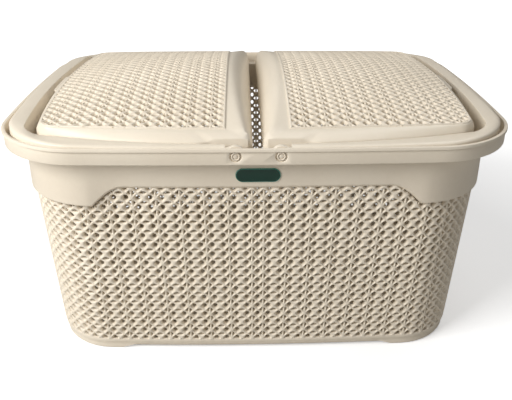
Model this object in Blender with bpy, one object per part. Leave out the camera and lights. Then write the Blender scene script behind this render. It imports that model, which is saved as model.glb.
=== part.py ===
"""Lidded carrying basket with knit-pattern walls, two domed lids and two fold-down handles."""
import math

import bmesh
import bpy
from mathutils import Matrix, Vector

MM = 0.001

# Rim outline, measured on the bead that tops the upstand.
RIM_HALF_X = 222.0 * MM
RIM_HALF_Y = 167.5 * MM
RIM_RADIUS = 70.0 * MM
RIM_BOW_X = 8.0 * MM
RIM_BOW_Y = 5.0 * MM
RIM_TOP = 219.0 * MM
BEAD_PROUD = 1.3 * MM
BEAD_HEIGHT = 3.1 * MM
BEAD_ROUND = 0.8 * MM
UPSTAND_WALL = 1.9 * MM
SKIRT_HEIGHT = 14.5 * MM
LEDGE_THICK = 3.0 * MM

# Plain upright band under the rim, scalloped lower at the four corners.
LEDGE_WIDTH_X = 14.0 * MM
LEDGE_WIDTH_Y = 14.3 * MM
BAND_HALF_X = RIM_HALF_X - LEDGE_WIDTH_X
BAND_HALF_Y = RIM_HALF_Y - LEDGE_WIDTH_Y
BAND_HEIGHT = 26.0 * MM
SKIRT_BOTTOM = RIM_TOP - SKIRT_HEIGHT
BAND_BOTTOM = SKIRT_BOTTOM - BAND_HEIGHT
BAND_CORNER_DROP = 18.5 * MM
BAND_CHAMFER = 2.0 * MM
BAND_THICK = 2.2 * MM
LONG_SCALLOP_SHARES = (0.80, 1.0)
SHORT_SCALLOP_SHARES = (0.68, 1.0)

# Tapered wall, set in from the band where the two meet.
FOOT_HEIGHT = 2.5 * MM
WALL_TAPER_SHARE = 0.0612
WALL_TAPER_RUN = WALL_TAPER_SHARE * (BAND_BOTTOM - FOOT_HEIGHT)
WALL_STEP_X = 2.4 * MM
WALL_STEP_Y = 2.3 * MM
WALL_HALF_X = BAND_HALF_X - WALL_STEP_X - WALL_TAPER_RUN
WALL_HALF_Y = BAND_HALF_Y - WALL_STEP_Y - WALL_TAPER_RUN
WALL_RADIUS = 52.0 * MM
BAND_RADIUS = WALL_RADIUS + WALL_TAPER_RUN + WALL_STEP_X
WALL_BOW_X = 3.5 * MM
WALL_BOW_Y = 5.7 * MM
WALL_THICK = 2.4 * MM
FLOOR_THICK = 3.0 * MM
BASE_ROUND = 3.4 * MM
INNER_ROUND = 4.0 * MM
BASE_STRIP = 9.5 * MM
PANEL_RECESS = 0.8 * MM
PANEL_STEP = 0.5 * MM

# Corner feet.
FOOT_WIDTH = 16.0 * MM
FOOT_INSET = 0.9 * MM
FOOT_EDGE = 1.6 * MM
FOOT_LENGTH_X = 61.0 * MM
FOOT_LENGTH_Y = 54.0 * MM
FOOT_RAMP = 8.0 * MM
FOOT_GAP_HALF_X = WALL_HALF_X - FOOT_LENGTH_X
FOOT_GAP_HALF_Y = WALL_HALF_Y - FOOT_LENGTH_Y
FOOT_ROOT = 0.8 * MM
FOOT_TOP = FOOT_HEIGHT + BASE_ROUND - FOOT_INSET / 2.0

# Handle pivots: a snap pin through the upstand and the handle's eye.
PIVOT_X = 18.6 * MM
LEDGE_Z = SKIRT_BOTTOM + LEDGE_THICK
PIVOT_RISE = 4.5 * MM
PIVOT_Z = LEDGE_Z + PIVOT_RISE
PIN_HEAD_RADIUS = 4.9 * MM
PIN_HEAD_THICK = 0.9 * MM
PIN_RECESS_RADIUS = 2.8 * MM
PIN_RECESS_DEPTH = 0.4 * MM
PIN_SHANK_RADIUS = 2.6 * MM
PIN_BARB_RADIUS = 3.3 * MM
PIN_BARB_LENGTH = 2.0 * MM
PIN_TIP_RADIUS = 2.0 * MM
FIT_GAP = 0.3 * MM
SIDE_GAP = 0.5 * MM

# Handle: an inverted channel, bowed like the rim, higher at the grip.
HANDLE_INSET_X = 13.5 * MM
HANDLE_INSET_Y = 4.6 * MM
HANDLE_HALF_X = RIM_HALF_X - HANDLE_INSET_X
HANDLE_HALF_Y = RIM_HALF_Y - HANDLE_INSET_Y
HANDLE_RADIUS = 60.0 * MM
HANDLE_BOW_X = 14.0 * MM
HANDLE_BOW_Y = 5.0 * MM
HANDLE_END_GAP = 9.6 * MM
HANDLE_CORNER_STEP = 48.0 * MM
HANDLE_INNER_RADIUS = HANDLE_RADIUS - HANDLE_CORNER_STEP
HANDLE_WALL = 1.8 * MM
HANDLE_ROLL_WIDTH = 6.5 * MM
HANDLE_ROLL_DROP = 2.5 * MM
ARM_PROUD = 0.3 * MM
ARM_TOP = RIM_TOP + ARM_PROUD
ARM_START = 27.3 * MM
GRIP_RISE = 5.7 * MM
RISE_START = 40.0 * MM
RISE_POWER_SHARE = 2.5
EYE_RADIUS = 8.4 * MM
EYE_THICK = 4.0 * MM
NECK_HALF_HEIGHT = 4.1 * MM
NOTCH_END_X = 44.0 * MM

# Lids: a crowned panel with a border, and a shoulder that rolls down to the middle gap.
LID_INSET_X = 19.9 * MM
LID_INSET_Y = 21.8 * MM
LID_HALF_X = HANDLE_HALF_X - LID_INSET_X
LID_HALF_Y = HANDLE_HALF_Y - LID_INSET_Y
LID_CORNER_EASE = 2.0 * MM
LID_RADIUS = HANDLE_INNER_RADIUS + LID_CORNER_EASE
LID_BOW_X = 8.9 * MM
LID_BOW_Y = 19.6 * MM
LID_SIDE_GAP = 0.8 * MM
LID_WALL = 2.2 * MM
LID_GAP_HALF = 4.2 * MM
LID_EDGE_HEIGHT = 12.0 * MM
LID_EDGE_Z = LEDGE_Z + LID_EDGE_HEIGHT
LID_EDGE_RISE = 7.4 * MM
PANEL_BORDER = 17.7 * MM
PANEL_HALF_Y = LID_HALF_Y + LID_BOW_Y - PANEL_BORDER
PANEL_IN_X = 27.5 * MM
PANEL_END_BORDER = 3.6 * MM
PANEL_OUT_X = LID_HALF_X - PANEL_END_BORDER
PANEL_BOW_X = 6.0 * MM
PANEL_CORNER = LID_RADIUS - LID_CORNER_EASE
PANEL_HEIGHT = 19.0 * MM
PANEL_BASE_Z = LEDGE_Z + PANEL_HEIGHT
CROWN = 18.7 * MM
CROWN_END = 5.6 * MM
CROWN_POWER_SHARE = 3.0
BORDER_POWER_SHARE = 1.6
LID_PANEL_RECESS = 0.9 * MM
CREASE_END_X = 10.0 * MM
CREASE_MID = 15.0 * MM
CREASE_POWER_SHARE = 0.7
SHOULDER_HEIGHT = 6.0 * MM
SHOULDER_Z = LEDGE_Z + SHOULDER_HEIGHT
SHOULDER_POWER_SHARE = 1.9
SHOULDER_ROOT_SHARE = 0.7
LOBE_GAP = 0.5 * MM
LOBE_HALF_Y = BAND_HALF_Y + WALL_BOW_Y - BAND_THICK - LOBE_GAP
LOBE_END_X = 40.0 * MM
LOBE_RAMP = 12.0 * MM
LOBE_CORNER = 4.0 * MM
TAB_HALF = 29.0 * MM
TAB_PROUD = 3.4 * MM
TAB_THICK = 2.0 * MM
TAB_DROP = 1.5 * MM

# Lid pivots: a stub on each lid in a lug that stands on the ledge.
LID_PIVOT_X = 36.0 * MM
LUG_RADIUS = 4.6 * MM
LUG_THICK = 2.4 * MM
STUB_RADIUS = 2.2 * MM

# Badge plate in its pocket on the band, left blank.
BADGE_HALF_LENGTH = 19.0 * MM
BADGE_HALF_HEIGHT = 6.1 * MM
BADGE_THICK = 1.8 * MM
BADGE_DROP = 13.9 * MM
BADGE_Z = SKIRT_BOTTOM - BADGE_DROP
BADGE_POCKET = 1.0 * MM

OVERRUN = 6.0 * MM
LONG_SHARES = (0.0, 0.4, 0.80, 0.85, 0.90, 0.95)
SHORT_SHARES = (0.0, 0.34, 0.68, 0.76, 0.84, 0.92)
CORNER_STEPS = 6
ROLL_STEPS = 3
ROUND_SIDES = 24

UPSTAND_INSET = BEAD_PROUD + UPSTAND_WALL
SEAT_Z = LEDGE_Z + FIT_GAP
EYE_FACE = RIM_HALF_Y + RIM_BOW_Y - UPSTAND_INSET - SIDE_GAP
EYE_BACK = EYE_FACE - EYE_THICK

PLASTIC = ((0.79, 0.70, 0.57), 0.42)
PLASTIC_LID = ((0.81, 0.73, 0.60), 0.42)
PIN_PLASTIC = ((0.74, 0.65, 0.53), 0.38)
BADGE_GREEN = ((0.0, 0.075, 0.045), 0.3)


def clear_scene():
    """Remove every object that the scene starts with."""
    for item in list(bpy.data.objects):
        bpy.data.objects.remove(item, do_unlink=True)


def new_collection(name):
    """Return a new collection linked to the scene."""
    made = bpy.data.collections.new(name)
    bpy.context.scene.collection.children.link(made)
    return made


def plastic(name, finish):
    """Return a plain moulded-plastic material of the given colour and roughness."""
    colour, roughness = finish
    made = bpy.data.materials.new(name)
    made.use_nodes = True
    shader = made.node_tree.nodes["Principled BSDF"]
    shader.inputs["Base Color"].default_value = (colour[0], colour[1], colour[2], 1.0)
    shader.inputs["Roughness"].default_value = roughness
    shader.inputs["Metallic"].default_value = 0.0
    return made


def mesh_object(name, shape, collection, finish=None, origin=(0.0, 0.0, 0.0)):
    """Make an object from a bmesh, with its origin at the given point."""
    bmesh.ops.remove_doubles(shape, verts=shape.verts, dist=0.00001 * MM)
    bmesh.ops.recalc_face_normals(shape, faces=shape.faces)
    bmesh.ops.translate(shape, verts=shape.verts, vec=-Vector(origin))
    mesh = bpy.data.meshes.new(name)
    shape.to_mesh(mesh)
    shape.free()
    made = bpy.data.objects.new(name, mesh)
    made.location = origin
    collection.objects.link(made)
    if finish is None:
        made.hide_render = True
        made.display_type = "WIRE"
    else:
        mesh.materials.append(plastic(name, finish))
        mesh.shade_smooth()
        mesh.set_sharp_from_angle(angle=math.radians(32.0))
    return made


def combine(target, tool, operation):
    """Add a Boolean modifier that joins, cuts or trims the target with the tool."""
    step = target.modifiers.new(operation.lower() + " " + tool.name, "BOOLEAN")
    step.operation = operation
    step.solver = "EXACT"
    step.object = tool


def outline(half_x, half_y, radius, bow_x, bow_y):
    """Return a rounded rectangle with gently bowed sides, anticlockwise from the front centre."""
    straight_x = half_x - radius
    straight_y = half_y - radius
    long_way = [-share for share in reversed(LONG_SHARES[1:])] + list(LONG_SHARES)
    short_way = [-share for share in reversed(SHORT_SHARES[1:])] + list(SHORT_SHARES)
    flat = [(share * straight_x, -half_y) for share in LONG_SHARES]
    corners = ((straight_x, -straight_y, -90.0), (straight_x, straight_y, 0.0),
               (-straight_x, straight_y, 90.0), (-straight_x, -straight_y, 180.0))
    sides = ([(half_x, share * straight_y) for share in short_way],
             [(-share * straight_x, half_y) for share in long_way],
             [(-half_x, -share * straight_y) for share in short_way],
             [(-share * straight_x, -half_y) for share in reversed(LONG_SHARES[1:])])
    for (centre_x, centre_y, start), side in zip(corners, sides):
        for step in range(CORNER_STEPS + 1):
            angle = math.radians(start + 90.0 * step / CORNER_STEPS)
            flat.append((centre_x + radius * math.cos(angle), centre_y + radius * math.sin(angle)))
        flat.extend(side)
    return [(x + math.copysign(bow_x * max(0.0, 1.0 - (y / half_y) ** 2) * abs(x) / half_x, x),
             y + math.copysign(bow_y * max(0.0, 1.0 - (x / half_x) ** 2) * abs(y) / half_y, y))
            for x, y in flat]


def wall_outline(z, inset):
    """Return the tapered wall's outline at a height, moved in by the inset."""
    spread = WALL_TAPER_SHARE * (z - FOOT_HEIGHT) - inset
    return outline(WALL_HALF_X + spread, WALL_HALF_Y + spread, WALL_RADIUS + spread,
                   WALL_BOW_X, WALL_BOW_Y)


def rim_outline(inset):
    """Return the rim's outline, moved in by the inset."""
    return outline(RIM_HALF_X - inset, RIM_HALF_Y - inset, RIM_RADIUS - inset,
                   RIM_BOW_X, RIM_BOW_Y)


def band_outline(inset):
    """Return the outline of the upright band, moved in by the inset."""
    return outline(BAND_HALF_X - inset, BAND_HALF_Y - inset, BAND_RADIUS - inset,
                   WALL_BOW_X, WALL_BOW_Y)


def lid_outline(spread):
    """Return the outline that both lids fill, moved out by the spread."""
    return outline(LID_HALF_X + spread, LID_HALF_Y + spread, LID_RADIUS + spread,
                   LID_BOW_X, LID_BOW_Y)


def lid_edge_y(x):
    """Return how far a lid's long edge is from the middle plane at a place along X."""
    return LID_HALF_Y + LID_BOW_Y * max(0.0, 1.0 - (x / LID_HALF_X) ** 2)


def lid_edge_x(y):
    """Return how far a lid's end edge is from the middle plane at a place along Y."""
    return LID_HALF_X + LID_BOW_X * max(0.0, 1.0 - (y / LID_HALF_Y) ** 2)


def panel_edge_x(y):
    """Return where a lid's panel ends at a place along Y."""
    return PANEL_OUT_X + PANEL_BOW_X * max(0.0, 1.0 - (y / PANEL_HALF_Y) ** 2)


def handle_outline(inset):
    """Return the outer outline of the pair of handles, moved in by the inset."""
    return outline(HANDLE_HALF_X - inset, HANDLE_HALF_Y - inset, HANDLE_RADIUS - inset,
                   HANDLE_BOW_X, HANDLE_BOW_Y)


def handle_inner_outline(spread):
    """Return the inner outline of the pair of handles, which clears the lids."""
    return outline(LID_HALF_X + HANDLE_END_GAP + spread, LID_HALF_Y - SIDE_GAP + spread,
                   HANDLE_INNER_RADIUS, LID_BOW_X + SIDE_GAP,
                   LID_BOW_Y + LID_SIDE_GAP + SIDE_GAP)


def scallop_drop(point):
    """Return how far the band's lower edge drops at a point of its outline."""
    along_x = abs(point[0]) / (BAND_HALF_X - BAND_RADIUS)
    along_y = abs(point[1]) / (BAND_HALF_Y - BAND_RADIUS)
    if along_x > 1.0 and along_y > 1.0:
        return BAND_CORNER_DROP
    along = along_x
    start, end = LONG_SCALLOP_SHARES
    if along_x > 1.0:
        along = along_y
        start, end = SHORT_SCALLOP_SHARES
    turn = min(1.0, max(0.0, (along - start) / (end - start)))
    return BAND_CORNER_DROP * (1.0 - math.cos(turn * math.pi / 2.0))


def loft(sections):
    """Return a closed solid through sections that have the same number of points."""
    shape = bmesh.new()
    rings = [[shape.verts.new(point) for point in section] for section in sections]
    count = len(rings[0])
    for lower, upper in zip(rings[:-1], rings[1:]):
        for index in range(count):
            after = (index + 1) % count
            shape.faces.new((lower[index], lower[after], upper[after], upper[index]))
    shape.faces.new(rings[0])
    shape.faces.new(rings[-1])
    return shape


def level(points, z):
    """Return the points of a flat outline at one height."""
    return [(x, y, z) for x, y in points]


def prism(points, low, high):
    """Return an upright solid over a flat outline."""
    shape = bmesh.new()
    face = shape.faces.new([shape.verts.new(point) for point in level(points, low)])
    raised = bmesh.ops.extrude_face_region(shape, geom=[face])
    top = [item for item in raised["geom"] if isinstance(item, bmesh.types.BMVert)]
    bmesh.ops.translate(shape, verts=top, vec=(0.0, 0.0, high - low))
    return shape


def box(low, high):
    """Return a box between two corners."""
    shape = bmesh.new()
    bmesh.ops.create_cube(shape, size=1.0)
    size = [high[axis] - low[axis] for axis in range(3)]
    centre = [(high[axis] + low[axis]) / 2.0 for axis in range(3)]
    bmesh.ops.scale(shape, verts=shape.verts, vec=size)
    bmesh.ops.translate(shape, verts=shape.verts, vec=centre)
    return shape


def plate_along_y(points, y_from, y_to):
    """Return the solid that a flat outline in X and Z fills between two places along Y."""
    shape = bmesh.new()
    face = shape.faces.new([shape.verts.new((x, y_from, z)) for x, z in points])
    raised = bmesh.ops.extrude_face_region(shape, geom=[face])
    moved = [item for item in raised["geom"] if isinstance(item, bmesh.types.BMVert)]
    bmesh.ops.translate(shape, verts=moved, vec=(0.0, y_to - y_from, 0.0))
    return shape


def rod_along_y(x, z, radius, y_from, y_to):
    """Return a cylinder whose axis runs along Y."""
    shape = bmesh.new()
    bmesh.ops.create_cone(shape, cap_ends=True, segments=ROUND_SIDES, radius1=radius,
                          radius2=radius, depth=abs(y_to - y_from))
    for vert in shape.verts:
        across, up, along = vert.co
        vert.co = (x + across, (y_from + y_to) / 2.0 + along, z + up)
    return shape


def both_ways():
    """Return the four quadrant signs, left and right at the front and at the back."""
    return [(side, face) for side in (-1.0, 1.0) for face in (-1.0, 1.0)]


def side_name(side):
    """Return the word for a side of the basket."""
    return "right" if side > 0.0 else "left"


def face_name(face):
    """Return the word for the front or the back."""
    return "back" if face > 0.0 else "front"


def under_band():
    """Return the ring where the knit wall meets the band's scalloped lower edge."""
    low = wall_outline(BAND_BOTTOM - BAND_CORNER_DROP, PANEL_RECESS)
    high = wall_outline(BAND_BOTTOM, PANEL_RECESS)
    ring = []
    for start, end, place in zip(low, high, band_outline(0.0)):
        drop = scallop_drop(place)
        blend = drop / BAND_CORNER_DROP
        ring.append((end[0] + (start[0] - end[0]) * blend, end[1] + (start[1] - end[1]) * blend,
                     BAND_BOTTOM - drop))
    return ring


def basket_body(parts, cutters):
    """Build the basket moulding: floor, knit wall zone, band, rim, ledge, lugs and feet."""
    floor_top = FOOT_HEIGHT + FLOOR_THICK
    strip_top = FOOT_HEIGHT + BASE_STRIP
    ring = under_band()
    bead_low = RIM_TOP - BEAD_HEIGHT
    inner_step = BAND_BOTTOM - BAND_THICK
    sections = [
        level(wall_outline(FOOT_HEIGHT, BASE_ROUND), FOOT_HEIGHT),
        level(wall_outline(FOOT_HEIGHT + BASE_ROUND, 0.0), FOOT_HEIGHT + BASE_ROUND),
        level(wall_outline(strip_top, 0.0), strip_top),
        level(wall_outline(strip_top + PANEL_STEP, PANEL_RECESS), strip_top + PANEL_STEP),
        ring,
        [(x, y, point[2] + BAND_CHAMFER) for (x, y), point in zip(band_outline(0.0), ring)],
        level(band_outline(0.0), SKIRT_BOTTOM),
        level(rim_outline(BEAD_PROUD), SKIRT_BOTTOM),
        level(rim_outline(BEAD_PROUD), bead_low),
        level(rim_outline(0.0), bead_low + BEAD_ROUND),
        level(rim_outline(0.0), RIM_TOP - BEAD_ROUND),
        level(rim_outline(BEAD_ROUND), RIM_TOP),
        level(rim_outline(UPSTAND_INSET - BEAD_ROUND), RIM_TOP),
        level(rim_outline(UPSTAND_INSET), RIM_TOP - BEAD_ROUND),
        level(rim_outline(UPSTAND_INSET), LEDGE_Z),
        level(band_outline(BAND_THICK), LEDGE_Z),
        level(band_outline(BAND_THICK), BAND_BOTTOM),
        level(wall_outline(inner_step, WALL_THICK), inner_step),
        level(wall_outline(floor_top + INNER_ROUND, WALL_THICK), floor_top + INNER_ROUND),
        level(wall_outline(floor_top, WALL_THICK + INNER_ROUND), floor_top),
    ]
    body = mesh_object("basket_body", loft(sections), parts, PLASTIC)
    add_feet(body, cutters)
    add_lid_lugs(body, cutters)
    cut_pin_holes(body, cutters)
    pocket = mesh_object("badge pocket", badge_solid(FIT_GAP, BADGE_POCKET + OVERRUN), cutters)
    combine(body, pocket, "DIFFERENCE")
    return body


def foot_gap_profile(half):
    """Return the outline, in X and Z, of the gap between two feet, with sloped ends."""
    lean = FOOT_RAMP / FOOT_HEIGHT
    high = FOOT_TOP + FOOT_ROOT
    return [(-half - lean * OVERRUN, -OVERRUN), (half + lean * OVERRUN, -OVERRUN),
            (half - lean * high, high), (-half + lean * high, high)]


def add_feet(body, cutters):
    """Join the four corner feet under the base."""
    rounded = loft([level(wall_outline(FOOT_HEIGHT, FOOT_INSET + FOOT_EDGE), 0.0),
                    level(wall_outline(FOOT_HEIGHT, FOOT_INSET), FOOT_EDGE),
                    level(wall_outline(FOOT_HEIGHT, FOOT_INSET), FOOT_TOP)])
    strip = mesh_object("foot strip", rounded, cutters)
    middle = prism(wall_outline(FOOT_HEIGHT, FOOT_INSET + FOOT_WIDTH), -OVERRUN, FOOT_TOP + OVERRUN)
    combine(strip, mesh_object("foot middle", middle, cutters), "DIFFERENCE")
    for name, half, reach, across in (("long", FOOT_GAP_HALF_X, RIM_HALF_Y, False),
                                      ("short", FOOT_GAP_HALF_Y, RIM_HALF_X, True)):
        gap = plate_along_y(foot_gap_profile(half), -reach, reach)
        if across:
            bmesh.ops.rotate(gap, verts=gap.verts, matrix=Matrix.Rotation(math.radians(90.0), 3, "Z"))
        combine(strip, mesh_object("foot gap " + name, gap, cutters), "DIFFERENCE")
    combine(body, strip, "UNION")


def lug_faces():
    """Return the nearest and farthest distance of a lid lug from the middle plane in Y."""
    near = LOBE_HALF_Y + SIDE_GAP
    return near, near + LUG_THICK


def lug_solid(x, near, far):
    """Return an upright lug with a round top, rooted in the ledge."""
    foot = LEDGE_Z - LEDGE_THICK / 2.0
    points = [(x + LUG_RADIUS, foot)]
    for step in range(ROUND_SIDES // 2 + 1):
        angle = math.radians(360.0 * step / ROUND_SIDES)
        points.append((x + LUG_RADIUS * math.cos(angle), PIVOT_Z + LUG_RADIUS * math.sin(angle)))
    points.append((x - LUG_RADIUS, foot))
    return plate_along_y(points, near, far)


def add_lid_lugs(body, cutters):
    """Join the lugs that carry the lids' stubs, and bore them."""
    near, far = lug_faces()
    for side, face in both_ways():
        name = side_name(side) + " " + face_name(face)
        x = side * LID_PIVOT_X
        combine(body, mesh_object("lug " + name, lug_solid(x, face * near, face * far), cutters), "UNION")
        bore = rod_along_y(x, PIVOT_Z, STUB_RADIUS + FIT_GAP, face * (near - OVERRUN / 2.0),
                           face * (far + OVERRUN / 2.0))
        combine(body, mesh_object("lug bore " + name, bore, cutters), "DIFFERENCE")


def cut_pin_holes(body, cutters):
    """Bore and counterbore the upstand for each pin, and slot the ledge under each eye."""
    skirt_face = RIM_HALF_Y + RIM_BOW_Y - BEAD_PROUD
    for side, face in both_ways():
        name = side_name(side) + " " + face_name(face)
        x = side * PIVOT_X
        bore = rod_along_y(x, PIVOT_Z, PIN_SHANK_RADIUS + FIT_GAP, face * EYE_BACK,
                           face * (skirt_face + OVERRUN))
        combine(body, mesh_object("pin bore " + name, bore, cutters), "DIFFERENCE")
        seat = rod_along_y(x, PIVOT_Z, PIN_HEAD_RADIUS + FIT_GAP, face * (skirt_face - PIN_HEAD_THICK - FIT_GAP),
                           face * (skirt_face + BEAD_PROUD / 2.0))
        combine(body, mesh_object("pin seat " + name, seat, cutters), "DIFFERENCE")
        reach = EYE_RADIUS + SIDE_GAP
        ends = sorted((face * (EYE_BACK - SIDE_GAP), face * (EYE_FACE + SIDE_GAP)))
        slot = box((x - reach, ends[0], SKIRT_BOTTOM - FOOT_ROOT), (x + reach, ends[1], LEDGE_Z + FOOT_ROOT))
        combine(body, mesh_object("eye slot " + name, slot, cutters), "DIFFERENCE")


def pin_solid(side, face):
    """Return a snap pin turned about its own axis, head outwards."""
    skirt_face = RIM_HALF_Y + RIM_BOW_Y - BEAD_PROUD
    back = EYE_BACK - FIT_GAP
    profile = [
        (0.0, skirt_face - PIN_RECESS_DEPTH),
        (PIN_RECESS_RADIUS, skirt_face - PIN_RECESS_DEPTH),
        (PIN_RECESS_RADIUS, skirt_face),
        (PIN_HEAD_RADIUS, skirt_face),
        (PIN_HEAD_RADIUS, skirt_face - PIN_HEAD_THICK),
        (PIN_SHANK_RADIUS, skirt_face - PIN_HEAD_THICK),
        (PIN_SHANK_RADIUS, back),
        (PIN_BARB_RADIUS, back),
        (PIN_TIP_RADIUS, back - PIN_BARB_LENGTH),
        (0.0, back - PIN_BARB_LENGTH),
    ]
    shape = bmesh.new()
    verts = [shape.verts.new((radius, 0.0, along)) for radius, along in profile]
    edges = [shape.edges.new(pair) for pair in zip(verts[:-1], verts[1:])]
    bmesh.ops.spin(shape, geom=verts + edges, cent=(0.0, 0.0, 0.0), axis=(0.0, 0.0, 1.0),
                   steps=ROUND_SIDES, angle=math.radians(360.0))
    for vert in shape.verts:
        across, up, along = vert.co
        vert.co = (side * PIVOT_X + across, face * along, PIVOT_Z + up)
    return shape


def pins(parts):
    """Build the four pins that the handles turn on."""
    skirt_face = RIM_HALF_Y + RIM_BOW_Y - BEAD_PROUD
    for side, face in both_ways():
        name = "pivot_pin_" + face_name(face) + "_" + side_name(side)
        origin = (side * PIVOT_X, face * skirt_face, PIVOT_Z)
        mesh_object(name, pin_solid(side, face), parts, PIN_PLASTIC, origin)


def badge_solid(spread, thick):
    """Return a pill-shaped plate that stands on the pocket's floor at the front."""
    floor_y = -(BAND_HALF_Y + WALL_BOW_Y - BADGE_POCKET)
    back = floor_y - (FIT_GAP if spread == 0.0 else 0.0)
    radius = BADGE_HALF_HEIGHT + spread
    reach = BADGE_HALF_LENGTH - BADGE_HALF_HEIGHT
    points = []
    for centre, start in ((reach, -90.0), (-reach, 90.0)):
        for step in range(ROUND_SIDES // 2 + 1):
            angle = math.radians(start + 360.0 * step / ROUND_SIDES)
            points.append((centre + radius * math.cos(angle), BADGE_Z + radius * math.sin(angle)))
    return plate_along_y(points, back, back - thick)


def badge(parts):
    """Build the blank badge plate."""
    centre = (0.0, -(BAND_HALF_Y + WALL_BOW_Y), BADGE_Z)
    mesh_object("badge_plate", badge_solid(0.0, BADGE_THICK), parts, BADGE_GREEN, centre)


def arm_height(x):
    """Return the height of a handle's top at a distance from the middle plane."""
    reach = HANDLE_HALF_X + HANDLE_BOW_X - RISE_START
    share = max(0.0, x - RISE_START) / reach
    return ARM_TOP + GRIP_RISE * min(1.0, share) ** RISE_POWER_SHARE


def handle_profile(side, start, top_inset, low):
    """Return a solid that bounds a handle in height, swept through the whole depth."""
    end = HANDLE_HALF_X + HANDLE_BOW_X + OVERRUN
    steps = 2 * CORNER_STEPS
    stations = [start + (end - start) * step / steps for step in range(steps + 1)]
    points = [(side * x, arm_height(x) - top_inset) for x in stations]
    points += [(side * end, low), (side * start, low)]
    reach = RIM_HALF_Y + RIM_BOW_Y
    return plate_along_y(points, -reach, reach)


def handle_mass(low, high):
    """Return the solid inside the handles' outer outline, its upper outer edge rolled over."""
    sections = [level(handle_outline(0.0), low)]
    for step in range(ROLL_STEPS + 1):
        angle = math.radians(90.0 * step / ROLL_STEPS)
        inset = HANDLE_ROLL_WIDTH * (1.0 - math.cos(angle))
        drop = HANDLE_ROLL_DROP * (1.0 - math.sin(angle)) - (FIT_GAP if step == ROLL_STEPS else 0.0)
        sections.append([(x, y, arm_height(abs(x)) - drop) for x, y in handle_outline(inset)])
    sections.append(level(handle_outline(HANDLE_ROLL_WIDTH), high))
    return loft(sections)


def handle(side, parts, cutters):
    """Build one handle: a channel-section loop with an eye at each end."""
    word = side_name(side)
    low = SKIRT_BOTTOM - OVERRUN
    high = RIM_TOP + GRIP_RISE + OVERRUN
    loop = mesh_object("handle_" + word, handle_mass(low, high), parts, PLASTIC_LID,
                       (side * PIVOT_X, 0.0, PIVOT_Z))
    opening = prism(handle_inner_outline(0.0), low - OVERRUN, high + OVERRUN)
    combine(loop, mesh_object("handle opening " + word, opening, cutters), "DIFFERENCE")
    bound = handle_profile(side, ARM_START, 0.0, SEAT_Z)
    combine(loop, mesh_object("handle bound " + word, bound, cutters), "INTERSECT")
    channel = mesh_object("handle channel " + word,
                          prism(handle_outline(HANDLE_WALL), low - OVERRUN, high), cutters)
    web = prism(handle_inner_outline(HANDLE_WALL), low - 2.0 * OVERRUN, high + OVERRUN)
    combine(channel, mesh_object("handle web " + word, web, cutters), "DIFFERENCE")
    hollow = handle_profile(side, NOTCH_END_X - FIT_GAP, HANDLE_WALL, SEAT_Z - OVERRUN)
    combine(channel, mesh_object("handle hollow " + word, hollow, cutters), "INTERSECT")
    combine(loop, channel, "DIFFERENCE")
    notch_ends = sorted((side * (ARM_START - OVERRUN), side * NOTCH_END_X))
    notch_reach = EYE_BACK - FIT_GAP
    notch = box((notch_ends[0], -notch_reach, low), (notch_ends[1], notch_reach, ARM_TOP - HANDLE_WALL))
    combine(loop, mesh_object("handle notch " + word, notch, cutters), "DIFFERENCE")
    for face in (-1.0, 1.0):
        name = word + " " + face_name(face)
        eye = rod_along_y(side * PIVOT_X, PIVOT_Z, EYE_RADIUS, face * EYE_BACK, face * EYE_FACE)
        combine(loop, mesh_object("eye " + name, eye, cutters), "UNION")
        ends_x = sorted((side * PIVOT_X, side * NOTCH_END_X))
        ends_y = sorted((face * EYE_BACK, face * EYE_FACE))
        neck = box((ends_x[0], ends_y[0], PIVOT_Z - NECK_HALF_HEIGHT),
                   (ends_x[1], ends_y[1], PIVOT_Z + NECK_HALF_HEIGHT))
        combine(loop, mesh_object("neck " + name, neck, cutters), "UNION")
        bore = rod_along_y(side * PIVOT_X, PIVOT_Z, PIN_SHANK_RADIUS + FIT_GAP,
                           face * (EYE_BACK - OVERRUN), face * (EYE_FACE + OVERRUN))
        combine(loop, mesh_object("eye bore " + name, bore, cutters), "DIFFERENCE")
    return loop


def crease_x(y):
    """Return where the shoulder starts, a lens-shaped line that is widest at mid depth."""
    return CREASE_END_X + CREASE_MID * max(0.0, 1.0 - (y / LOBE_HALF_Y) ** 2) ** CREASE_POWER_SHARE


def panel_height(x, y):
    """Return the crowned height of a lid's panel."""
    edge = panel_edge_x(y)
    along = min(1.0, max(0.0, (x - PANEL_IN_X) / (edge - PANEL_IN_X)))
    crown = CROWN - (CROWN - CROWN_END) * along ** CROWN_POWER_SHARE
    return PANEL_BASE_Z + crown * max(0.0, 1.0 - (y / PANEL_HALF_Y) ** 2)


def lid_height(x, y):
    """Return the height of a lid's outer surface at a place, for the lid at +X."""
    clear_y = min(abs(y), PANEL_HALF_Y)
    panel_x = panel_edge_x(y)
    height = panel_height(min(x, panel_x), clear_y)
    out_y = max(0.0, abs(y) - PANEL_HALF_Y) / max(lid_edge_y(x) - PANEL_HALF_Y, LID_WALL)
    out_x = max(0.0, x - panel_x) / max(lid_edge_x(y) - panel_x, LID_WALL)
    away = min(1.0, math.hypot(out_x, out_y))
    middle = max(0.0, 1.0 - (y / LID_HALF_Y) ** 2)
    edge = LID_EDGE_Z + LID_EDGE_RISE * middle * min(1.0, x / PANEL_OUT_X) ** CROWN_POWER_SHARE
    height -= (height - edge) * away ** BORDER_POWER_SHARE
    crease = crease_x(y)
    if x < crease:
        share = min(1.0, (crease - x) / (crease - LID_GAP_HALF))
        roll = (1.0 - share ** SHOULDER_POWER_SHARE) ** SHOULDER_ROOT_SHARE
        height = SHOULDER_Z + (height - SHOULDER_Z) * roll
    return height


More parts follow.
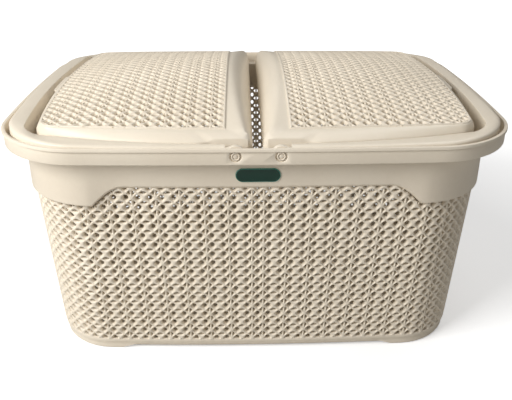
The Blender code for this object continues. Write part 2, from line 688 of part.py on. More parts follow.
def lid_place(along, across):
    """Return the point of a lid's grid at shares along X and across Y, past one beyond an edge."""
    inside_y = max(-1.0, min(1.0, across)) * PANEL_HALF_Y
    crease = crease_x(inside_y)
    edge = panel_edge_x(inside_y)
    if along <= 1.0:
        x = LID_GAP_HALF + (crease - LID_GAP_HALF) * along
    elif along <= 2.0:
        x = crease + (PANEL_IN_X - crease) * (along - 1.0)
    elif along <= 3.0:
        x = PANEL_IN_X + (edge - PANEL_IN_X) * (along - 2.0)
    else:
        x = edge + (lid_edge_x(inside_y) + LID_EDGE_RISE - edge) * (along - 3.0)
    outside = abs(across) - 1.0
    if outside <= 0.0:
        return x, inside_y
    return x, math.copysign(PANEL_HALF_Y + (lid_edge_y(x) + LID_EDGE_RISE - PANEL_HALF_Y) * outside, across)


def lid_block(side, low, drop):
    """Return the solid under a lid's outer surface, lowered by the drop."""
    alongs = [-1.0, 0.0, 0.12, 0.3, 0.5, 0.72, 1.0, 2.0, 2.17, 2.34, 2.5, 2.64, 2.77, 2.89, 3.0,
              3.25, 3.5, 4.0]
    half = [0.2, 0.4, 0.6, 0.76, 0.9, 1.0, 1.2, 1.45, 2.0]
    acrosses = [-share for share in reversed(half)] + [0.0] + half
    shape = bmesh.new()
    grid = []
    for along in alongs:
        column = []
        for across in acrosses:
            x, y = lid_place(max(0.0, along), across)
            z = lid_height(x, y) - drop
            if along < 0.0:
                x = 0.0
            column.append(shape.verts.new((side * x, y, z)))
        grid.append(column)
    for column, after in zip(grid[:-1], grid[1:]):
        for index in range(len(acrosses) - 1):
            shape.faces.new((column[index], after[index], after[index + 1], column[index + 1]))
    raised = bmesh.ops.extrude_face_region(shape, geom=shape.faces[:])
    for item in raised["geom"]:
        if isinstance(item, bmesh.types.BMVert):
            item.co.z = low
    return shape


def panel_plan(side):
    """Return the flat outline of the knit panel of the lid on the given side."""
    points = [(PANEL_IN_X, -PANEL_HALF_Y)]
    for face, start in ((-1.0, -90.0), (1.0, 0.0)):
        for step in range(CORNER_STEPS + 1):
            angle = math.radians(start + 90.0 * step / CORNER_STEPS)
            y = face * (PANEL_HALF_Y - PANEL_CORNER) + PANEL_CORNER * math.sin(angle)
            points.append((panel_edge_x(y) - PANEL_CORNER + PANEL_CORNER * math.cos(angle), y))
        if face < 0.0:
            for share in SHORT_SHARES[2:0:-1] + (0.0,):
                y = -share * PANEL_HALF_Y
                points.append((panel_edge_x(y), y))
            for share in SHORT_SHARES[1:3]:
                y = share * PANEL_HALF_Y
                points.append((panel_edge_x(y), y))
    points.append((PANEL_IN_X, PANEL_HALF_Y))
    return [(side * x, y) for x, y in points]


def lid_plan(side, spread):
    """Return the flat outline of the lid on the given side, moved out by the spread."""
    inner = LID_GAP_HALF - spread
    lobe = LOBE_HALF_Y + spread
    ramp = LOBE_END_X + LOBE_RAMP
    ramp_y = lid_edge_y(ramp) + spread
    edge = [(x, y) for x, y in lid_outline(spread) if x > ramp]
    edge.sort(key=lambda point: math.atan2(point[1], point[0] - ramp))
    points = [(inner, -lobe + LOBE_CORNER), (inner + LOBE_CORNER, -lobe), (LOBE_END_X, -lobe), (ramp, -ramp_y)]
    points += edge
    points += [(ramp, ramp_y), (LOBE_END_X, lobe), (inner + LOBE_CORNER, lobe), (inner, lobe - LOBE_CORNER)]
    return [(side * x, y) for x, y in points]


def lid(side, parts, cutters):
    """Build one lid: a crowned shell with a skirt, a recessed panel, a lift tab and stubs."""
    word = side_name(side)
    high = PANEL_BASE_Z + CROWN + OVERRUN
    origin = (side * LID_PIVOT_X, 0.0, PIVOT_Z)
    shell = mesh_object("lid_" + word, prism(lid_plan(side, 0.0), SEAT_Z, high), parts, PLASTIC_LID, origin)
    crown = mesh_object("lid crown " + word, lid_block(side, SEAT_Z - OVERRUN, 0.0), cutters)
    combine(shell, crown, "INTERSECT")
    inside = mesh_object("lid inside " + word, prism(lid_plan(side, -LID_WALL), SEAT_Z - OVERRUN, high), cutters)
    under = mesh_object("lid under " + word, lid_block(side, SEAT_Z - 2.0 * OVERRUN, LID_WALL + LID_PANEL_RECESS),
                        cutters)
    combine(inside, under, "INTERSECT")
    combine(shell, inside, "DIFFERENCE")
    sunk = mesh_object("lid panel " + word, prism(panel_plan(side), SEAT_Z, high), cutters)
    kept = mesh_object("lid kept " + word, lid_block(side, SEAT_Z - OVERRUN, LID_PANEL_RECESS), cutters)
    combine(sunk, kept, "DIFFERENCE")
    combine(shell, sunk, "DIFFERENCE")
    tab_in = LID_HALF_X + LID_BOW_X - LID_WALL / 2.0
    tab_out = LID_HALF_X + LID_BOW_X + TAB_PROUD
    tab_top = LID_EDGE_Z + LID_EDGE_RISE - TAB_DROP
    ends = sorted((side * tab_in, side * tab_out))
    tab = box((ends[0], -TAB_HALF, tab_top - TAB_THICK), (ends[1], TAB_HALF, tab_top))
    combine(shell, mesh_object("lift tab " + word, tab, cutters), "UNION")
    far = lug_faces()[1]
    for face in (-1.0, 1.0):
        stub = rod_along_y(side * LID_PIVOT_X, PIVOT_Z, STUB_RADIUS, face * (LOBE_HALF_Y - LID_WALL / 2.0),
                           face * far)
        combine(shell, mesh_object("stub " + word + " " + face_name(face), stub, cutters), "UNION")
    return shell


def main():
    """Build the whole basket."""
    clear_scene()
    parts = new_collection("knit_basket")
    cutters = new_collection("cutters")
    basket_body(parts, cutters)
    badge(parts)
    pins(parts)
    for side in (-1.0, 1.0):
        handle(side, parts, cutters)
        lid(side, parts, cutters)


main()
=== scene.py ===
"""Looks of a carrying basket moulded in cream plastic, with knit walls, domed lids and loop handles."""

import logging
import math
from dataclasses import dataclass, field
from enum import Enum
from typing import Callable, Sequence

import bmesh
import bpy
import numpy as np
from mathutils import Matrix, Vector


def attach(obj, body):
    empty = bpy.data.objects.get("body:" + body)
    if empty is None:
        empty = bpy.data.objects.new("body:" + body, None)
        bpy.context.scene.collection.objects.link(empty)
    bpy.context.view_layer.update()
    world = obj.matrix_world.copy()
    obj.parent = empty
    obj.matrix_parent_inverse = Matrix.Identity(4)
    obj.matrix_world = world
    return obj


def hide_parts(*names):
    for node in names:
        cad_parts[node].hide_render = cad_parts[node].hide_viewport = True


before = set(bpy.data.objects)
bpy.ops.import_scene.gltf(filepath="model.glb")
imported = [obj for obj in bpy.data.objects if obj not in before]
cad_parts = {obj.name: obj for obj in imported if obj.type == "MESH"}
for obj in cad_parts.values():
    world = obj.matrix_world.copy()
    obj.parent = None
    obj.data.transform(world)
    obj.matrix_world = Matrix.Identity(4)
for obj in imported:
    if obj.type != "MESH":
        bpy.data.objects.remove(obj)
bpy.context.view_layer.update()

LOG = logging.getLogger("basket")
MM = 0.001
MERGE = 0.00001
CORNER_STEPS = 14
BODY = "basket"
PIVOT_X = 18.6 * MM
PIVOT_Z = 212.0 * MM
STUB_X = 36.0 * MM
STUB_FACE = 159.1 * MM
Point2 = tuple[float, float]
Point3 = tuple[float, float, float]


def scallop_shares(start: float) -> tuple[float, ...]:
    """Places along half a side, closer together where the band's edge turns down.

    Args:
        start: share of the straight side where the band's edge starts to drop.

    Returns:
        Shares from the middle of the side to its end, the end left out.
    """
    plain = [start * step / 9.0 for step in range(9)]
    turning = [start + (1.0 - start) * step / 9.0 for step in range(9)]
    return tuple(plain + turning)


LONG_SCALLOP = 0.80
SHORT_SCALLOP = 0.68
LONG_SHARES = scallop_shares(LONG_SCALLOP)
SHORT_SHARES = scallop_shares(SHORT_SCALLOP)


@dataclass(frozen=True)
class Outline:
    """A rounded rectangle whose sides bow gently outwards, seen from above."""

    half_x: float
    half_y: float
    radius: float
    bow_x: float
    bow_y: float

    def inset(self, by: float) -> "Outline":
        """The same outline moved in by a distance."""
        return Outline(self.half_x - by, self.half_y - by, self.radius - by, self.bow_x, self.bow_y)

    def bowed(self, x: float, y: float) -> Point2:
        """The place of a point of the flat rectangle once its sides are bowed."""
        out_x = self.bow_x * bulge(y, self.half_y) * abs(x) / self.half_x
        out_y = self.bow_y * bulge(x, self.half_x) * abs(y) / self.half_y
        return x + math.copysign(out_x, x), y + math.copysign(out_y, y)

    def corner(self, sign_x: float, sign_y: float, steps: int = CORNER_STEPS) -> list[Point2]:
        """The arc of one corner, flat, anticlockwise."""
        start = {(1, -1): -90.0, (1, 1): 0.0, (-1, 1): 90.0, (-1, -1): 180.0}[(int(sign_x), int(sign_y))]
        centre_x = sign_x * (self.half_x - self.radius)
        centre_y = sign_y * (self.half_y - self.radius)
        arc = []
        for step in range(steps + 1):
            angle = math.radians(start + 90.0 * step / steps)
            arc.append((centre_x + self.radius * math.cos(angle), centre_y + self.radius * math.sin(angle)))
        return arc

    def points(self) -> list[Point2]:
        """All points of the outline, anticlockwise from the middle of the front."""
        straight_x = self.half_x - self.radius
        straight_y = self.half_y - self.radius
        long_way = [-share for share in reversed(LONG_SHARES[1:])] + list(LONG_SHARES)
        short_way = [-share for share in reversed(SHORT_SHARES[1:])] + list(SHORT_SHARES)
        flat = [(share * straight_x, -self.half_y) for share in LONG_SHARES]
        flat += self.corner(1, -1)
        flat += [(self.half_x, share * straight_y) for share in short_way]
        flat += self.corner(1, 1)
        flat += [(-share * straight_x, self.half_y) for share in long_way]
        flat += self.corner(-1, 1)
        flat += [(-self.half_x, -share * straight_y) for share in short_way]
        flat += self.corner(-1, -1)
        flat += [(-share * straight_x, -self.half_y) for share in reversed(LONG_SHARES[1:])]
        return [self.bowed(x, y) for x, y in flat]


def ease(value: float) -> float:
    """A smooth step from 0 to 1."""
    value = min(1.0, max(0.0, value))
    return value * value * (3.0 - 2.0 * value)


def bulge(value: float, half: float) -> float:
    """A bow's share: 1 in the middle, 0 at half and beyond."""
    return max(0.0, 1.0 - (value / half) ** 2)


def level(points: Sequence[Point2], z: float) -> list[Point3]:
    """Points of a flat outline at one height."""
    return [(x, y, z) for x, y in points]


def disc(x: float, y: float, z: float, radius: float, sides: int) -> list[Point3]:
    """An upright circle that faces along Y."""
    turns = [math.tau * step / sides for step in range(sides)]
    return [(x + radius * math.cos(turn), y, z + radius * math.sin(turn)) for turn in turns]


def spread_out(points: Sequence[Point2], by: float) -> list[Point2]:
    """A closed anticlockwise outline moved outwards along its own normals.

    Args:
        points: the outline's points.
        by: the distance, negative to move inwards.

    Returns:
        As many points as were given.
    """
    moved = []
    count = len(points)
    for index, (x, y) in enumerate(points):
        before = points[index - 1]
        after = points[(index + 1) % count]
        along = Vector((after[0] - before[0], after[1] - before[1]))
        if along.length < MERGE:
            along = Vector((after[0] - x, after[1] - y))
        along.normalize()
        moved.append((x + along.y * by, y - along.x * by))
    return moved


# The bench: how a piece is started, shaped and finished.


def deselect_everything() -> None:
    """Leaves object mode with nothing selected."""
    if bpy.context.mode != "OBJECT":
        bpy.ops.object.mode_set(mode="OBJECT")
    bpy.ops.object.select_all(action="DESELECT")


def pick(*pieces: bpy.types.Object) -> None:
    """Selects only these pieces, the first one active."""
    deselect_everything()
    for piece in pieces:
        piece.select_set(True)
    bpy.context.view_layer.objects.active = pieces[0]


def apply_modifier(piece: bpy.types.Object, kind: str, **settings: object) -> None:
    """Adds a modifier with its settings and applies it.

    Args:
        piece: the object that is shaped.
        kind: Blender's name for the modifier.
        **settings: values of the modifier's own properties.
    """
    step = piece.modifiers.new(kind.lower(), kind)
    for name, value in settings.items():
        setattr(step, name, value)
    pick(piece)
    bpy.ops.object.modifier_apply(modifier=step.name)


def ring_of_edges(name: str, points: Sequence[Point3]) -> bpy.types.Object:
    """A closed ring of edges through the points, left in edit mode and selected.

    Args:
        name: the new object's name.
        points: the ring's points in order.

    Returns:
        The new object.
    """
    deselect_everything()
    bpy.ops.mesh.primitive_circle_add(vertices=len(points), radius=1.0, fill_type="NOTHING")
    ring = bpy.context.active_object
    ring.name = name
    ring.data.name = name
    for vert, point in zip(ring.data.vertices, points):
        vert.co = point
    bpy.ops.object.mode_set(mode="EDIT")
    bpy.ops.mesh.select_all(action="SELECT")
    return ring


def move_new_ring(piece: bpy.types.Object, ring: list[int], points: Sequence[Point3]) -> list[int]:
    """Moves the ring that was just extruded from another one to its points.

    Args:
        piece: the object in edit mode.
        ring: vertex numbers of the ring that was extruded.
        points: where the new ring goes.

    Returns:
        Vertex numbers of the new ring, in the same order.
    """
    shape = bmesh.from_edit_mesh(piece.data)
    shape.verts.ensure_lookup_table()
    old = set(ring)
    fresh = []
    for number, point in zip(ring, points):
        for edge in shape.verts[number].link_edges:
            other = edge.other_vert(shape.verts[number])
            if other.select and other.index not in old:
                fresh.append(other.index)
                break
    for number, point in zip(fresh, points):
        shape.verts[number].co = point
    bmesh.update_edit_mesh(piece.data)
    return fresh


def fill_ring(piece: bpy.types.Object, ring: list[int]) -> None:
    """Closes a ring of vertices with one face."""
    bpy.ops.mesh.select_all(action="DESELECT")
    shape = bmesh.from_edit_mesh(piece.data)
    shape.verts.ensure_lookup_table()
    for number in ring:
        shape.verts[number].select = True
    shape.select_flush(True)
    bmesh.update_edit_mesh(piece.data)
    bpy.ops.mesh.edge_face_add()


def weld() -> None:
    """Merges the edited mesh's double points, turns its faces outwards and leaves edit mode."""
    bpy.ops.mesh.select_all(action="SELECT")
    bpy.ops.mesh.remove_doubles(threshold=MERGE)
    bpy.ops.mesh.normals_make_consistent(inside=False)
    bpy.ops.object.mode_set(mode="OBJECT")


def select_where(piece: bpy.types.Object, kind: str, chosen: Callable[[int, object], bool]) -> None:
    """Opens a piece in edit mode with some of its edges or faces selected.

    Args:
        piece: the piece to edit.
        kind: EDGE or FACE.
        chosen: tells from an element's number and itself whether it is selected.
    """
    pick(piece)
    bpy.ops.object.mode_set(mode="EDIT")
    bpy.ops.mesh.select_mode(type=kind)
    bpy.ops.mesh.select_all(action="DESELECT")
    shape = bmesh.from_edit_mesh(piece.data)
    for number, element in enumerate(shape.faces if kind == "FACE" else shape.edges):
        element.select = chosen(number, element)
    bmesh.update_edit_mesh(piece.data)


def through_rings(name: str, rings: Sequence[Sequence[Point3]], closed: bool = False) -> bpy.types.Object:
    """A solid extruded through rings of points.

    Args:
        name: the new object's name.
        rings: rings with as many points each.
        closed: True joins the last ring to the first, False fills both ends.

    Returns:
        The new object, in object mode.
    """
    piece = ring_of_edges(name, rings[0])
    first = list(range(len(rings[0])))
    ring = first
    later = list(rings[1:]) + ([rings[0]] if closed else [])
    for points in later:
        bpy.ops.mesh.extrude_edges_move()
        ring = move_new_ring(piece, ring, points)
    if not closed:
        fill_ring(piece, first)
        fill_ring(piece, ring)
    weld()
    return piece


def slab(name: str, points: Sequence[Point3], travel: Point3, edge: float, segments: int = 2) -> bpy.types.Object:
    """A plate of even thickness with rounded edges.

    Args:
        name: the new object's name.
        points: the flat outline of one face.
        travel: how far that face is extruded.
        edge: the width of the rounding.
        segments: faces across the rounding.

    Returns:
        The new object.
    """
    far = [tuple(Vector(point) + Vector(travel)) for point in points]
    piece = through_rings(name, [points, far])
    apply_modifier(piece, "BEVEL", width=edge, segments=segments, limit_method="ANGLE",
                   angle_limit=math.radians(40.0), use_clamp_overlap=True)
    return piece


def flipped_copy(piece: bpy.types.Object, name: str, across: Point3) -> bpy.types.Object:
    """A copy of a piece on the other side of a middle plane, with its own mesh.

    Args:
        piece: the piece to copy.
        name: the copy's name.
        across: the plane's normal.

    Returns:
        The new object.
    """
    copy = piece.copy()
    copy.data = piece.data.copy()
    copy.name = name
    copy.data.name = name
    bpy.context.scene.collection.objects.link(copy)
    copy.data.transform(Matrix.Scale(-1.0, 4, Vector(across)))
    copy.data.flip_normals()
    return copy


def mirrored_copy(piece: bpy.types.Object) -> bpy.types.Object:
    """A copy of a right-hand piece on the left."""
    return flipped_copy(piece, piece.name.replace("right", "left"), (1.0, 0.0, 0.0))


def turned_copy(piece: bpy.types.Object) -> bpy.types.Object:
    """A copy of a front piece at the back."""
    return flipped_copy(piece, piece.name.replace("front", "back"), (0.0, 1.0, 0.0))


def joined(name: str, pieces: Sequence[bpy.types.Object]) -> bpy.types.Object:
    """Several pieces made one object."""
    pick(*pieces)
    bpy.ops.object.join()
    whole = bpy.context.active_object
    whole.name = name
    whole.data.name = name
    return whole


# The finishes.


def add_node(tree: bpy.types.NodeTree, kind: str, inputs: dict | None = None, **settings: object) -> bpy.types.Node:
    """Adds a shader node.

    Args:
        tree: the node tree.
        kind: Blender's name for the node, without its prefix.
        inputs: values of input sockets, or the output sockets that are linked to them.
        **settings: values of the node's own properties.

    Returns:
        The new node.
    """
    made = tree.nodes.new("ShaderNode" + kind)
    for name, value in settings.items():
        setattr(made, name, value)
    set_inputs(tree, made, inputs or {})
    return made


def set_inputs(tree: bpy.types.NodeTree, node: bpy.types.Node, inputs: dict) -> None:
    """Sets a node's input sockets, by a value or by a link from an output socket."""
    for name, value in inputs.items():
        if isinstance(value, bpy.types.NodeSocket):
            tree.links.new(value, node.inputs[name])
        else:
            node.inputs[name].default_value = value


@dataclass(frozen=True)
class PlasticFinish:
    """A moulded plastic: its colour, how it varies, its gloss, its fine texture and a painted highlight on its convex
    edges.
    """

    name: str
    colour: tuple[float, float, float]
    shade: tuple[float, float, float]
    roughness: float
    grain: float = 0.05
    grain_size: float = 900.0
    coat: float = 0.0
    painted_edge_highlight: float = 0.0

    def material(self) -> bpy.types.Material:
        """The material as shader nodes.

        Returns:
            A new material, or the one made before under the same name.
        """
        known = bpy.data.materials.get(self.name)
        if known is not None:
            return known
        made = bpy.data.materials.new(self.name)
        made.use_nodes = True
        tree = made.node_tree
        place = add_node(tree, "TexCoord").outputs["Object"]
        cloud, fleck, grain = (
            add_node(tree, "TexNoise", {"Vector": place, "Scale": scale, "Detail": detail}).outputs["Fac"]
            for scale, detail in ((14.0, 3.0), (260.0, 2.0), (self.grain_size, 2.0)))
        both = add_node(tree, "Math", {0: fleck, 1: 0.35, 2: cloud}, operation="MULTIPLY_ADD")
        ramp = add_node(tree, "ValToRGB", {"Fac": both.outputs[0]})
        for stop, position, tint in zip(ramp.color_ramp.elements, (0.50, 0.86), (self.shade, self.colour)):
            stop.position = position
            stop.color = (*tint, 1.0)
        colour = ramp.outputs["Color"]
        # Convex edges and strand ridges are lightened towards a warm white by pointiness: a painted highlight, not
        # wear.
        if self.painted_edge_highlight > 0.0:
            pointed = add_node(tree, "NewGeometry").outputs["Pointiness"]
            highlight_share = add_node(tree, "MapRange", {"From Min": 0.52, "From Max": 0.66, "To Min": 0.0,
                                               "To Max": self.painted_edge_highlight, "Value": pointed})
            highlighted = add_node(tree, "Mix", {"B": (1.0, 0.95, 0.86, 1.0), "Factor": highlight_share.outputs["Result"],
                                             "A": colour}, data_type="RGBA")
            colour = highlighted.outputs["Result"]
        gloss = add_node(tree, "MapRange", {"To Min": self.roughness - 0.05, "To Max": self.roughness + 0.07,
                                            "Value": fleck})
        bump = add_node(tree, "Bump", {"Strength": self.grain, "Distance": 0.0004, "Height": grain})
        set_inputs(tree, tree.nodes["Principled BSDF"], {
            "Metallic": 0.0, "IOR": 1.46, "Coat Weight": self.coat, "Coat Roughness": 0.12, "Base Color": colour,
            "Roughness": gloss.outputs["Result"], "Normal": bump.outputs["Normal"]})
        return made


CREAM = PlasticFinish("cream_moulding", (0.800, 0.715, 0.585), (0.765, 0.675, 0.545), 0.42, painted_edge_highlight=0.25)
CREAM_KNIT = PlasticFinish("cream_knit", (0.810, 0.722, 0.590), (0.770, 0.680, 0.548), 0.40, painted_edge_highlight=0.35)
CREAM_LID = PlasticFinish("cream_lid", (0.815, 0.733, 0.605), (0.785, 0.700, 0.570), 0.38, painted_edge_highlight=0.25)
CREAM_PIN = PlasticFinish("cream_pin", (0.760, 0.672, 0.548), (0.700, 0.610, 0.490), 0.36, painted_edge_highlight=0.25)
BADGE_GREEN = PlasticFinish("badge_enamel", (0.001, 0.040, 0.025), (0.001, 0.028, 0.017), 0.34, 0.02, coat=0.1)
# The lighter green of the badge's lip is a painted highlight round its edge.
BADGE_EDGE_HIGHLIGHT = PlasticFinish("badge_edge_highlight", (0.05, 0.26, 0.20), (0.03, 0.20, 0.15), 0.28, 0.02, coat=0.4)


def dress(piece: bpy.types.Object, finish: PlasticFinish, body: str,
          stands_for: Sequence[str] = (), crease: float = 38.0) -> None:
    """Gives a piece its finish and its place among the moving bodies.

    Args:
        piece: the finished mesh.
        finish: the finish it takes.
        body: the body that it moves with.
        stands_for: CAD nodes that it is shown for.
        crease: edges sharper than this many degrees stay sharp.
    """
    piece.data.materials.clear()
    piece.data.materials.append(finish.material())
    pick(piece)
    bpy.ops.object.shade_smooth_by_angle(angle=math.radians(crease))
    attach(piece, body)
    if stands_for:
        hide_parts(*stands_for)
    LOG.info("%s: %d faces, moves with %s", piece.name, len(piece.data.polygons), body)


# The knit.


class Stitch(Enum):
    """The two kinds of stitch, which take turns along a row."""

    STAR = "star"
    BLOCK = "block"


@dataclass(frozen=True)
class KnitPattern:
    """The openwork knit: crossing strands around round eyelets, with bars and blocks between."""

    half_pitch: float = 5.15 * MM
    half_row: float = 4.84 * MM
    eyelet: float = 3.05 * MM
    eyelet_rise: float = 0.15 * MM
    throat: Point2 = (1.8 * MM, 2.5 * MM)
    throat_depth: float = 1.9 * MM
    strand: float = 1.15 * MM
    sheet: float = 2.2 * MM
    bar: float = 0.95 * MM
    bar_start: float = 0.47
    slot_arch: float = 0.4 * MM

    def quarter(self, kind: Stitch) -> list[list[Point3]]:
        """Places of a quarter stitch's points, in rows from the eyelet to the stitch's foot.

        Args:
            kind: which stitch.

        Returns:
            Rows of points, with the strands' crossing at the origin.
        """
        rows = [[], [], []]
        for station in range(4):
            angle = math.radians(-90.0 + 30.0 * station)
            across, up = math.cos(angle), math.sin(angle)
            rows[0].append((self.throat[0] * across, self.half_row + self.throat[1] * up, -self.throat_depth))
            rows[1].append((self.eyelet * across, self.half_row + self.eyelet * up, self.eyelet_rise))
            share = station / 3.0
            rows[2].append((share * self.half_pitch, share * self.half_row, self.strand))
        side = 1.0 - self.bar / self.half_pitch
        foot = self.bar_start
        if kind is Stitch.STAR:
            rows.append(self.places((0.20, 0.0, 0.90), (0.47, 0.29, 0.72), (0.75, 0.60, 0.65), (1.0, 0.74, 1.05)))
            rows.append(self.places((0.32, 0.0, -0.2), (0.56, 0.25, -0.3), (side, foot, -0.1), (1.0, foot, 0.85)))
        else:
            rows.append(self.places((0.27, 0.0, 0.80), (0.50, 0.25, 0.78), (0.77, 0.38, 0.88), (1.0, 0.41, 0.92)))
            rows.append(self.places((0.38, 0.0, -0.3), (0.57, 0.16, -0.1), (0.78, 0.25, 0.1), (1.0, 0.27, 0.2)))
        return rows

    def places(self, *shares: Point3) -> list[Point3]:
        """Points from shares of the half pitch, the half row and the strand's height."""
        return [(x * self.half_pitch, y * self.half_row, z * self.strand) for x, y, z in shares]

    def stitch(self, kind: Stitch) -> bpy.types.Object:
        """One whole stitch as an open sheet, centred on its own middle.

        Args:
            kind: which stitch.

        Returns:
            The new object.
        """
        deselect_everything()
        rows = self.quarter(kind)
        bpy.ops.mesh.primitive_grid_add(x_subdivisions=3, y_subdivisions=len(rows) - 1, size=1.0)
        piece = bpy.context.active_object
        piece.name = "stitch_" + kind.value
        for vert in piece.data.vertices:
            station = round((0.5 + vert.co.x) * 3.0)
            row = round((0.5 - vert.co.y) * (len(rows) - 1))
            vert.co = Vector(rows[row][station]) - Vector((self.half_pitch, self.half_row, 0.0))
        if kind is Stitch.STAR:
            self.drop_bar(piece)
        for axis in (0, 1):
            apply_modifier(piece, "MIRROR", use_axis=tuple(axis == way for way in range(3)), use_clip=True,
                           use_mirror_merge=True, merge_threshold=MERGE)
        if kind is Stitch.BLOCK:
            self.arch_slots(piece)
        return piece

    def arch_slots(self, piece: bpy.types.Object) -> None:
        """Lifts the middle of the slots above and below a block, so they arch.

        Args:
            piece: the block stitch.
        """
        for vert in piece.data.vertices:
            across = max(0.0, 1.0 - (vert.co.x / (0.56 * self.half_pitch)) ** 2)
            vert.co.y += self.slot_arch * across * (vert.co.y / self.half_row) ** 2

    def drop_bar(self, piece: bpy.types.Object) -> None:
        """Extrudes the upright bar of a star stitch down to the row's edge.

        Args:
            piece: the quarter stitch.
        """
        drop = self.bar_start * self.half_row
        foot = drop - self.half_row

        def under_bar(_: int, edge: bmesh.types.BMEdge) -> bool:
            """Whether an edge is the bar's lower end."""
            return all(abs(vert.co.y - foot) < MERGE and vert.co.x > -self.bar - MERGE for vert in edge.verts)

        select_where(piece, "EDGE", under_bar)
        bpy.ops.mesh.extrude_edges_move(TRANSFORM_OT_translate={"value": (0.0, -drop, 0.0)})
        bpy.ops.mesh.select_mode(type="VERT")
        bpy.ops.object.mode_set(mode="OBJECT")

    def flat_sheet(self, name: str, first: Stitch, pairs: int, rows: int, both_sides: bool) -> bpy.types.Object:
        """An open flat sheet of stitches, in stitch lengths of this pattern.

        Args:
            name: the new object's name.
            first: the stitch nearest to the sheet's starting edge.
            pairs: pairs of stitches along a row.
            rows: rows of stitches.
            both_sides: True mirrors the sheet about its starting edge.

        Returns:
            The new object, with rows going down from the origin.
        """
        second = Stitch.BLOCK if first is Stitch.STAR else Stitch.STAR
        near = self.stitch(first)
        near.data.transform(Matrix.Translation((self.half_pitch, -self.half_row, 0.0)))
        far = self.stitch(second)
        far.data.transform(Matrix.Translation((3.0 * self.half_pitch, -self.half_row, 0.0)))
        sheet = joined(name, (near, far))
        for count, step in ((pairs, (4.0 * self.half_pitch, 0.0, 0.0)), (rows, (0.0, -2.0 * self.half_row, 0.0))):
            apply_modifier(sheet, "ARRAY", count=count, use_relative_offset=False, use_constant_offset=True,
                           constant_offset_displace=step)
        if both_sides:
            apply_modifier(sheet, "MIRROR", use_mirror_merge=False)
        pick(sheet)
        bpy.ops.object.mode_set(mode="EDIT")
        weld()
        if sum(face.normal.z for face in sheet.data.polygons) < 0.0:
            sheet.data.flip_normals()
        return sheet

    def trim(self, sheet: bpy.types.Object, keeps: Callable[[np.ndarray, np.ndarray], np.ndarray]) -> None:
        """Removes the faces of a flat sheet that lie outside a region.

        Args:
            sheet: the flat sheet.
            keeps: tells from columns and rows which places stay.
        """
        count = len(sheet.data.polygons)
        centres = np.empty(count * 3)
        sheet.data.polygons.foreach_get("center", centres)
        centres = centres.reshape(-1, 3)
        columns = centres[:, 0] / (2.0 * self.half_pitch)
        rows = -centres[:, 1] / (2.0 * self.half_row)
        gone = ~keeps(columns, rows)
        select_where(sheet, "FACE", lambda number, _: bool(gone[number]))
        bpy.ops.mesh.delete(type="FACE")
        bpy.ops.mesh.select_mode(type="VERT")
        bpy.ops.object.mode_set(mode="OBJECT")

    def drape(self, sheet: bpy.types.Object,
              surface: Callable[[np.ndarray, np.ndarray], tuple[np.ndarray, np.ndarray]]) -> None:
        """Thickens a flat sheet and lays it on a surface.

        Args:
            sheet: the flat sheet.
            surface: gives points and outward normals from columns and rows.
        """
        front = len(sheet.data.vertices)
        apply_modifier(sheet, "SOLIDIFY", thickness=self.sheet, offset=-1.0, use_even_offset=False)
        count = len(sheet.data.vertices)
        flat = np.empty(count * 3)
        sheet.data.vertices.foreach_get("co", flat)
        flat = flat.reshape(-1, 3)
        flat[front:, :2] = flat[:count - front, :2]
        flat[front:, 2] = -self.sheet
        columns = flat[:, 0] / (2.0 * self.half_pitch)
        rows = -flat[:, 1] / (2.0 * self.half_row)
        places, normals = surface(columns, rows)
        placed = places + normals * flat[:, 2:3]
        sheet.data.vertices.foreach_set("co", placed.reshape(-1))
        sheet.data.update()


# The basket itself.


